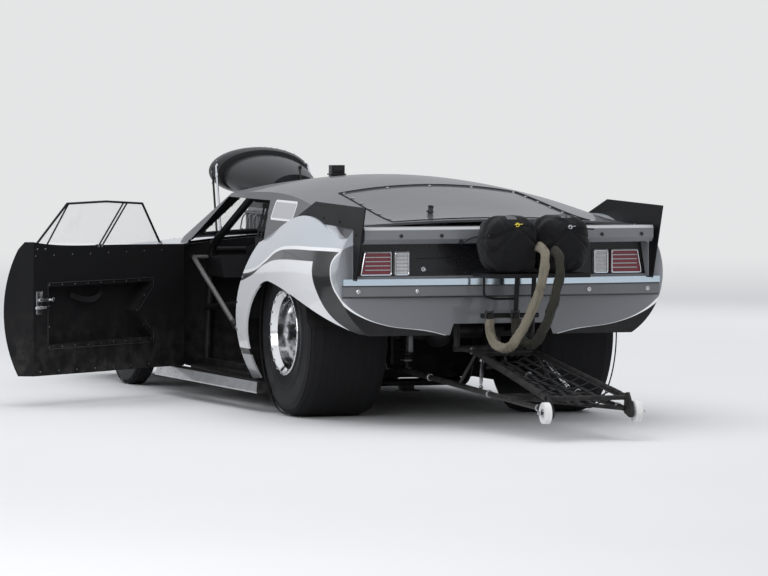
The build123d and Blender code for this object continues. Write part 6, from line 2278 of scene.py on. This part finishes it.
    def side_bars(self) -> None:
        """Put the slanting bars that close the door openings, each on two lugs on the cage."""
        for side in Side:
            s = side.value
            head, base = car(1.972, s * 0.700, 0.742), car(0.790, s * 0.700, 0.205)
            middle = head.lerp(base, 0.62)
            run = (base - head).normalized()
            bar = [bent_bar([head, middle], 0.0135, smooth=False, ring=4),
                   bent_bar([middle, base], 0.0100, smooth=False, ring=4),
                   disc(0.0105, 0.095, head + Vector((0, 0.012 * s, 0)), Vector((0, -s, 0)), 20, 0.001),
                   disc(0.0105, 0.075, base + Vector((0, 0.012 * s, 0)), Vector((0, -s, 0)), 20, 0.001)]
            self.works.done(join(bar), f"{side.word}_door_opening_bar", "bar_steel")
            joints = join([disc(0.0185, 0.055, middle - run * 0.03, run, 24, 0.002),
                           disc(0.016, 0.012, head + Vector((0, 0.020 * s, 0)), Vector((0, -s, 0)), 6, 0.001),
                           disc(0.016, 0.012, base + Vector((0, 0.020 * s, 0)), Vector((0, -s, 0)), 6, 0.001)])
            self.works.done(joints, f"{side.word}_bar_joints", "black_bolt")

    def sill_skirts(self) -> None:
        """Close the gap between each sill and the floor with a thin black strip on the cage's foot rail."""
        for side in Side:
            strip = rounded_box((1.51, 0.004, 0.080), car(1.445, side.value * 0.643, 0.152), 0.0015)
            self.works.done(strip, f"{side.word}_sill_skirt", "black_tin")


@dataclass
class Nose:
    """Headlamp glasses and bulbs, grille mesh, hood pins, splitter cables and the body's edge trims."""

    works: Works
    lamp_z: float = 0.505
    grille_x: float = 3.8727

    def build(self) -> None:
        """Build the pieces."""
        self.lamps()
        self.mesh()
        self.pins()
        self.stays()
        self.seals()

    def lamps(self) -> None:
        """Set a domed glass, a bright bowl and a bulb in each headlamp."""
        glasses, bowls, bulbs = [], [], []
        forward = Vector((1, 0, 0))
        for y in (0.470, 0.330, -0.330, -0.470):
            middle = car(self.grille_x - 0.0115, y, self.lamp_z)
            deselect_all()
            bpy.ops.mesh.primitive_uv_sphere_add(segments=40, ring_count=20, radius=0.0565)
            glass = bpy.context.object
            bpy.ops.object.mode_set(mode="EDIT")
            bpy.ops.mesh.select_all(action="SELECT")
            bpy.ops.mesh.bisect(plane_co=(0, 0, 0), plane_no=(1, 0, 0), clear_inner=True, use_fill=True)
            bpy.ops.object.mode_set(mode="OBJECT")
            for vertex in glass.data.vertices:
                vertex.co.x *= 0.30
            glass.matrix_world = Matrix.Translation(middle + forward * 0.004)
            glasses.append(outwards(settle(glass)))
            bowls.append(hoop(0.0565, 0.003, middle + forward * 0.005, forward, 48, 6))
            bowls.append(disc(0.050, 0.003, middle, forward, 40, 0.001))
            bulbs.append(disc(0.010, 0.006, middle + forward * 0.003, forward, 20, 0.002))
        self.works.done(join(glasses), "headlamp_glasses", "lamp_glass", slot="clear_sheet")
        self.works.done(join(bowls), "headlamp_bowls", "chrome")
        self.works.done(join(bulbs), "headlamp_bulbs", "dial_white")

    def mesh(self) -> None:
        """Stretch a wire mesh behind the grille's bars."""
        wires = []
        x = self.grille_x - 0.0145
        for i in range(37):
            y = -0.252 + 0.014 * i
            wires.append(rounded_box((0.0014, 0.0016, 0.150), car(x, y, 0.505), 0.0003, 1))
        for i in range(10):
            z = 0.436 + 0.0153 * i
            wires.append(rounded_box((0.0016, 0.516, 0.0014), car(x - 0.0012, 0, z), 0.0003, 1))
        self.works.done(join(wires), "grille_mesh", "black_tube")

    def pins(self) -> None:
        """Stand the hood pins with their clips."""
        pins = []
        for x, y in ((3.50, 0.40), (3.50, -0.40), (2.28, 0.44), (2.28, -0.44)):
            spot = self.works.skin.hit("hood", car(x, y, 1.5), Vector((0, 0, -1)))
            pin = join([disc(0.018, 0.003, Vector((0, 0, 0)), Vector((0, 0, 1)), 28, 0.001),
                        disc(0.006, 0.022, Vector((0, 0, 0)), Vector((0, 0, 1)), 14, 0.003),
                        hoop(0.011, 0.0014, Vector((0.009, 0, 0.012)), Vector((0, 0, 1)), 24, 6),
                        bent_bar([Vector((-0.014, 0, 0.012)), Vector((0, 0.0, 0.0125)), Vector((0.02, 0, 0.012))], 0.0013, ring=2)])
            pin.data.transform(spot)
            pins.append(pin)
        self.works.done(join(pins), "hood_pins", "bolt_steel")

    def stays(self) -> None:
        """Hold the splitter's front edge with two short turnbuckle stays up to the nose."""
        stays = []
        for s in (1, -1):
            foot = car(3.83, s * 0.42, 0.1085)
            spot = self.works.skin.hit("front_clip", car(3.83, s * 0.42, 0.12), Vector((0, 0, 1)))
            if spot is None:
                continue
            head = spot.translation
            run = head - foot
            stays += [disc(0.005, run.length, foot, run, 12), disc(0.009, run.length * 0.4, foot + run * 0.3, run, 6, 0.001),
                      disc(0.014, 0.006, foot - Vector((0, 0, 0.0005)), Vector((0, 0, 1)), 16, 0.001)]
        if stays:
            self.works.done(join(stays), "splitter_stays", "bright_alloy")

    def seals(self) -> None:
        """Run a rubber bead round the windshield's opening and the rear window panel's."""
        for name, node, outline in (
                ("windshield_seal", "roof_shell", [(2.066, -0.634), (1.508, -0.566), (1.508, 0.566), (2.066, 0.634)]),
                ("rear_glass_seal", "roof_shell", [(0.157, -0.486), (0.157, 0.486), (-0.808, 0.526), (-0.808, -0.526)])):
            line = []
            for i, (x, y) in enumerate(outline):
                xb, yb = outline[(i + 1) % 4]
                steps = 14
                for k in range(steps):
                    t = k / steps
                    spot = self.works.skin.hit(node, car(x + (xb - x) * t, y + (yb - y) * t, 1.5), Vector((0, 0, -1)))
                    if spot is not None:
                        line.append(spot.translation)
            self.works.done(bent_bar(line + line[:1], 0.0042, smooth=False, ring=2), name, "belt_rubber")


@dataclass
class RearGear:
    """Bright bits under the tail: hoses, rod ends and the battery box between the rails."""

    works: Works

    def build(self) -> None:
        """Build the pieces."""
        self.hoses()
        self.shock_bodies()
        self.rod_ends()
        self.boxes()

    def hoses(self) -> None:
        """Run braided hoses along the rear frame."""
        runs = (
            [(-0.80, 0.18, 0.545), (-0.70, 0.20, 0.560), (-0.50, 0.22, 0.555), (-0.30, 0.25, 0.560), (-0.17, 0.28, 0.548)],
            [(-0.80, -0.10, 0.545), (-0.62, -0.14, 0.58), (-0.45, -0.22, 0.57), (-0.20, -0.28, 0.552)],
        )
        pieces = [bent_bar([car(*p) for p in run], 0.0075, ring=3) for run in runs]
        for run in runs:
            for end, near in ((run[0], run[1]), (run[-1], run[-2])):
                way = car(*near) - car(*end)
                pieces.append(disc(0.0105, 0.024, car(*end) - way.normalized() * 0.004, way, 6, 0.001))
        self.works.done(join(pieces), "rear_hoses", "braided_hose")

    def shock_bodies(self) -> None:
        """Give the rear shocks a bright body, collars and a reservoir each."""
        for side in Side:
            s = side.value
            foot = car(-0.150, s * 0.225, 0.262)
            up = Vector((0, 0, 1))
            body = join([disc(0.0345, 0.010, foot + up * 0.020, up, 32, 0.002), disc(0.0345, 0.008, foot + up * 0.200, up, 32, 0.002),
                         disc(0.020, 0.110, car(-0.205, s * 0.225, 0.330), up, 28, 0.005),
                         rounded_box((0.040, 0.018, 0.014), car(-0.180, s * 0.225, 0.350), 0.003)])
            self.works.done(body, f"{side.word}_shock_body", "shock_body")

    def rod_ends(self) -> None:
        """Put rod ends and bolts on the links and the wheelie bars' front ends."""
        pieces = []
        for s in (1, -1):
            for x, z in ((0.020, 0.300), (0.025, 0.465), (0.620, 0.180), (0.620, 0.330)):
                eye = car(x, s * 0.290, z)
                pieces.append(disc(0.021, 0.026, eye - Vector((0, 0.013, 0)), Vector((0, 1, 0)), 24, 0.004))
                pieces.append(disc(0.011, 0.060, eye - Vector((0, 0.030, 0)), Vector((0, 1, 0)), 6, 0.001))
            for place in ((-0.940, s * 0.152, 0.376), (-0.055, s * 0.292, 0.255)):
                pieces.append(disc(0.019, 0.026, car(*place) - Vector((0, 0.013, 0)), Vector((0, 1, 0)), 24, 0.004))
        self.works.done(join(pieces), "link_rod_ends", "bolt_steel")

    def boxes(self) -> None:
        """Hang the battery between the rear rails behind the axle."""
        box = rounded_box((0.24, 0.18, 0.17), car(-0.60, -0.02, 0.602), 0.012, 3)
        lid = rounded_box((0.25, 0.19, 0.022), car(-0.60, -0.02, 0.695), 0.006)
        strap = rounded_box((0.030, 0.196, 0.010), car(-0.60, -0.02, 0.709), 0.003)
        legs = [rounded_box((0.26, 0.020, 0.014), car(-0.60, y, 0.511), 0.003) for y in (-0.09, 0.05)]
        rails = [disc(0.008, 0.50, car(-0.84, y, 0.512), Vector((1, 0, 0)), 12, 0.001) for y in (-0.09, 0.05)]
        self.works.done(join([box, lid, strap] + legs + rails), "battery_box", "cast_alloy")


@dataclass
class RoofGear:
    """The vent tube's cap, the roof box's lens and the release rod from the deck to the packs."""

    works: Works

    def build(self) -> None:
        """Build the pieces."""
        cap = join([hoop(0.0128, 0.0028, car(-0.612, 0.257, 1.088), Vector((-0.24, 0, 1)), 28, 8),
                    hoop(0.0155, 0.0035, car(-0.600, 0.257, 1.062), Vector((-0.24, 0, 1)), 28, 8)])
        self.works.done(cap, "vent_tube_rings", "belt_rubber")
        box = join([rounded_box((0.004, 0.050, 0.030), car(1.3685, 0.077, 1.222), 0.001),
                    rounded_box((0.064, 0.088, 0.008), car(1.395, 0.077, 1.200), 0.002)])
        self.works.done(box, "roof_box_band", "black_bolt")
        rod = bent_bar([car(-1.073, 0.262, 0.925), car(-1.085, 0.250, 0.922), car(-1.095, 0.225, 0.940), car(-1.100, 0.200, 0.950),
                        car(-1.120, 0.190, 0.952)], 0.0045, ring=3)
        eye = hoop(0.009, 0.0035, car(-1.078, 0.262, 0.924), Vector((1, 0, 0)), 20, 6)
        self.works.done(join([rod, eye]), "pack_release_rod", "black_bolt")


@dataclass
class Studio:
    """Camera, floor and lamps.

    Attributes:
        camera_place: Where the camera stands, on the car's own axes.
        look: The direction in which it looks.
        roll: Its turn about that direction, in degrees.
        lens: Focal length for a 36 mm wide sensor.
    """

    camera_place: Point = (-29.773, 10.663, 2.033)
    look: Point = (0.94345, -0.32860, -0.04380)
    roll: float = 0.12
    lens: float = 287.82

    def build(self) -> None:
        """Set up the view, the floor and the light."""
        self.make_camera()
        self.make_floor()
        self.make_light()

    def make_camera(self) -> None:
        """Place the camera at the photograph's viewing angle."""
        data = bpy.data.cameras.new("camera")
        data.lens = self.lens
        data.sensor_width = 36.0
        data.clip_end = 300.0
        camera = bpy.data.objects.new("camera", data)
        bpy.context.scene.collection.objects.link(camera)
        turn = Vector(self.look).to_track_quat("-Z", "Y").to_matrix().to_4x4()
        spin = Matrix.Rotation(math.radians(self.roll), 4, "Z")
        camera.matrix_world = Matrix.Translation(car(*self.camera_place)) @ turn @ spin
        bpy.context.scene.camera = camera

    def make_floor(self) -> None:
        """Lay a plain pale floor under the tyres."""
        deselect_all()
        bpy.ops.mesh.primitive_plane_add(size=240.0, location=car(1.0, 0.0, 0.0))
        floor = settle(bpy.context.object)
        floor.name = "floor"
        material, g, shader, place = start_material("pale_floor")
        cloud = g.noise(place, 0.35, 2.0)
        g.feed(shader.inputs["Base Color"], g.mix(cloud, (0.66, 0.665, 0.67), (0.70, 0.705, 0.71)))
        shader.inputs["Roughness"].default_value = 1.0
        shader.inputs["Specular IOR Level"].default_value = 0.0
        away = g.add("ShaderNodeVectorMath", operation="LENGTH")
        g.feed(away.inputs[0], place)
        open_air = g.add("ShaderNodeBsdfTransparent")
        blend = g.add("ShaderNodeMixShader")
        g.feed(blend.inputs[0], g.ramp(away.outputs["Value"], 7.0, 22.0))
        g.feed(blend.inputs[1], shader.outputs[0])
        g.feed(blend.inputs[2], open_air.outputs[0])
        g.feed(material.node_tree.nodes["Material Output"].inputs["Surface"], blend.outputs[0])
        floor.data.materials.append(material)

    def make_light(self) -> None:
        """Light the car as on an overcast day, with soft lamps and an even pale sky."""
        world = bpy.data.worlds.new("sky")
        bpy.context.scene.world = world
        world.use_nodes = True
        g = Graph(world.node_tree)
        back = world.node_tree.nodes["Background"]
        split = g.add("ShaderNodeSeparateXYZ")
        g.feed(split.inputs[0], g.add("ShaderNodeTexCoord").outputs["Generated"])
        height = g.ramp(split.outputs[2], -0.05, 0.9)
        sky = g.mix(height, (0.62, 0.63, 0.65), (0.80, 0.82, 0.86))
        path = g.add("ShaderNodeLightPath")
        seen = g.math("MAXIMUM", path.outputs["Is Camera Ray"], path.outputs["Is Transmission Ray"])
        g.feed(back.inputs["Color"], g.mix(seen, sky, (0.78, 0.785, 0.79)))
        back.inputs["Strength"].default_value = 1.0
        # Columns: name, place on the car's axes, place looked at, size, power
        for name, place, target, size, power in (
                ("overhead", (0.5, 1.0, 7.0), (0.6, 0.0, 0.5), 9.0, 300.0),
                ("behind_left", (-9.0, 6.0, 4.5), (0.0, 0.0, 0.6), 6.0, 260.0),
                ("front_right", (9.0, -6.0, 5.0), (1.5, 0.0, 0.6), 6.0, 130.0)):
            lamp = bpy.data.lights.new(name, "AREA")
            lamp.size = size
            lamp.energy = power
            holder = bpy.data.objects.new(name, lamp)
            bpy.context.scene.collection.objects.link(holder)
            holder.visible_glossy = name == "behind_left"
            direction = car(*target) - car(*place)
            holder.matrix_world = (Matrix.Translation(car(*place))
                                   @ direction.to_track_quat("-Z", "Y").to_matrix().to_4x4())


@dataclass
class FrameDress:
    """Gives every CAD node its finish."""

    works: Works

    def build(self) -> None:
        """Put a material on each node."""
        for name, finish in self.plan().items():
            node = self.works.nodes[name]
            node.data.materials.clear()
            node.data.materials.append(self.works.finishes[finish])
            LOG.info("dressed %s with %s", name, finish)

    def plan(self) -> dict[str, str]:
        """Pair each node with its finish.

        Returns:
            Node names and finish names.
        """
        wearers = {
            "side_paint": ["front_clip", "quarter_panels_and_deck", "left_rocker", "right_rocker"],
            "shut_door_paint": ["right_door"],
            "open_door_paint": ["left_door"],
            "lip_paint": ["spoiler"],
            "roof_paint": ["roof_shell", "hood", "rear_window_panel"],
            "clear_sheet": ["windshield"],
            "tail_black": ["tail_panel"],
            "carbon": ["injector_scoop", "front_splitter", "dashboard", "roof_box"],
            "plate_black": ["left_end_plate", "right_end_plate"],
            "bumper_face": ["rear_bumper"],
            "lamp_face": ["left_tail_lamps", "right_tail_lamps"],
            "black_tin": ["floor_panel", "firewall", "rear_bulkhead", "wheel_tubs", "grille"],
            "seat_cloth": ["left_parachute_pack", "right_parachute_pack", "wheelie_net", "left_tether", "right_tether"],
            "cast_alloy": ["engine_block", "supercharger", "left_knuckle", "right_knuckle"],
            "axle_steel": ["rear_axle_housing", "rear_axle_shaft"],
            "header_steel": ["left_headers", "right_headers"],
            "roller_white": ["left_wheelie_wheel", "right_wheelie_wheel"],
            "slick_rubber": ["left_rear_tyre", "right_rear_tyre"],
            "front_rubber": ["left_front_tyre", "right_front_tyre"],
            "polished_rim": ["left_rear_rim", "right_rear_rim", "left_front_rim", "right_front_rim"],
        }
        plan = {node: finish for finish, nodes in wearers.items() for node in nodes}
        for name in self.works.nodes:
            plan.setdefault(name, "black_tube")
        return plan


def main() -> None:
    """Build the looks of the car round its frame."""
    logging.basicConfig(level=logging.INFO, format="%(name)s: %(message)s")
    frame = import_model()
    bpy.context.scene.view_settings.view_transform = "Standard"
    groups = NodeGroups()
    groups.build()
    works = Works(frame["nodes"], groups, Skin(frame["nodes"]), make_finishes(groups))
    Studio().build()
    for assembly in (FrameDress(works), Fasteners(works), Tail(works), Parachutes(works), Tethers(works),
                     WheelieBars(works), WheelTrim(works), Induction(works), Doors(works), Cabin(works), Nose(works),
                     RearGear(works), RoofGear(works)):
        assembly.build()
        LOG.info("finished %s", type(assembly).__name__)


if __name__ == "__main__":
    main()
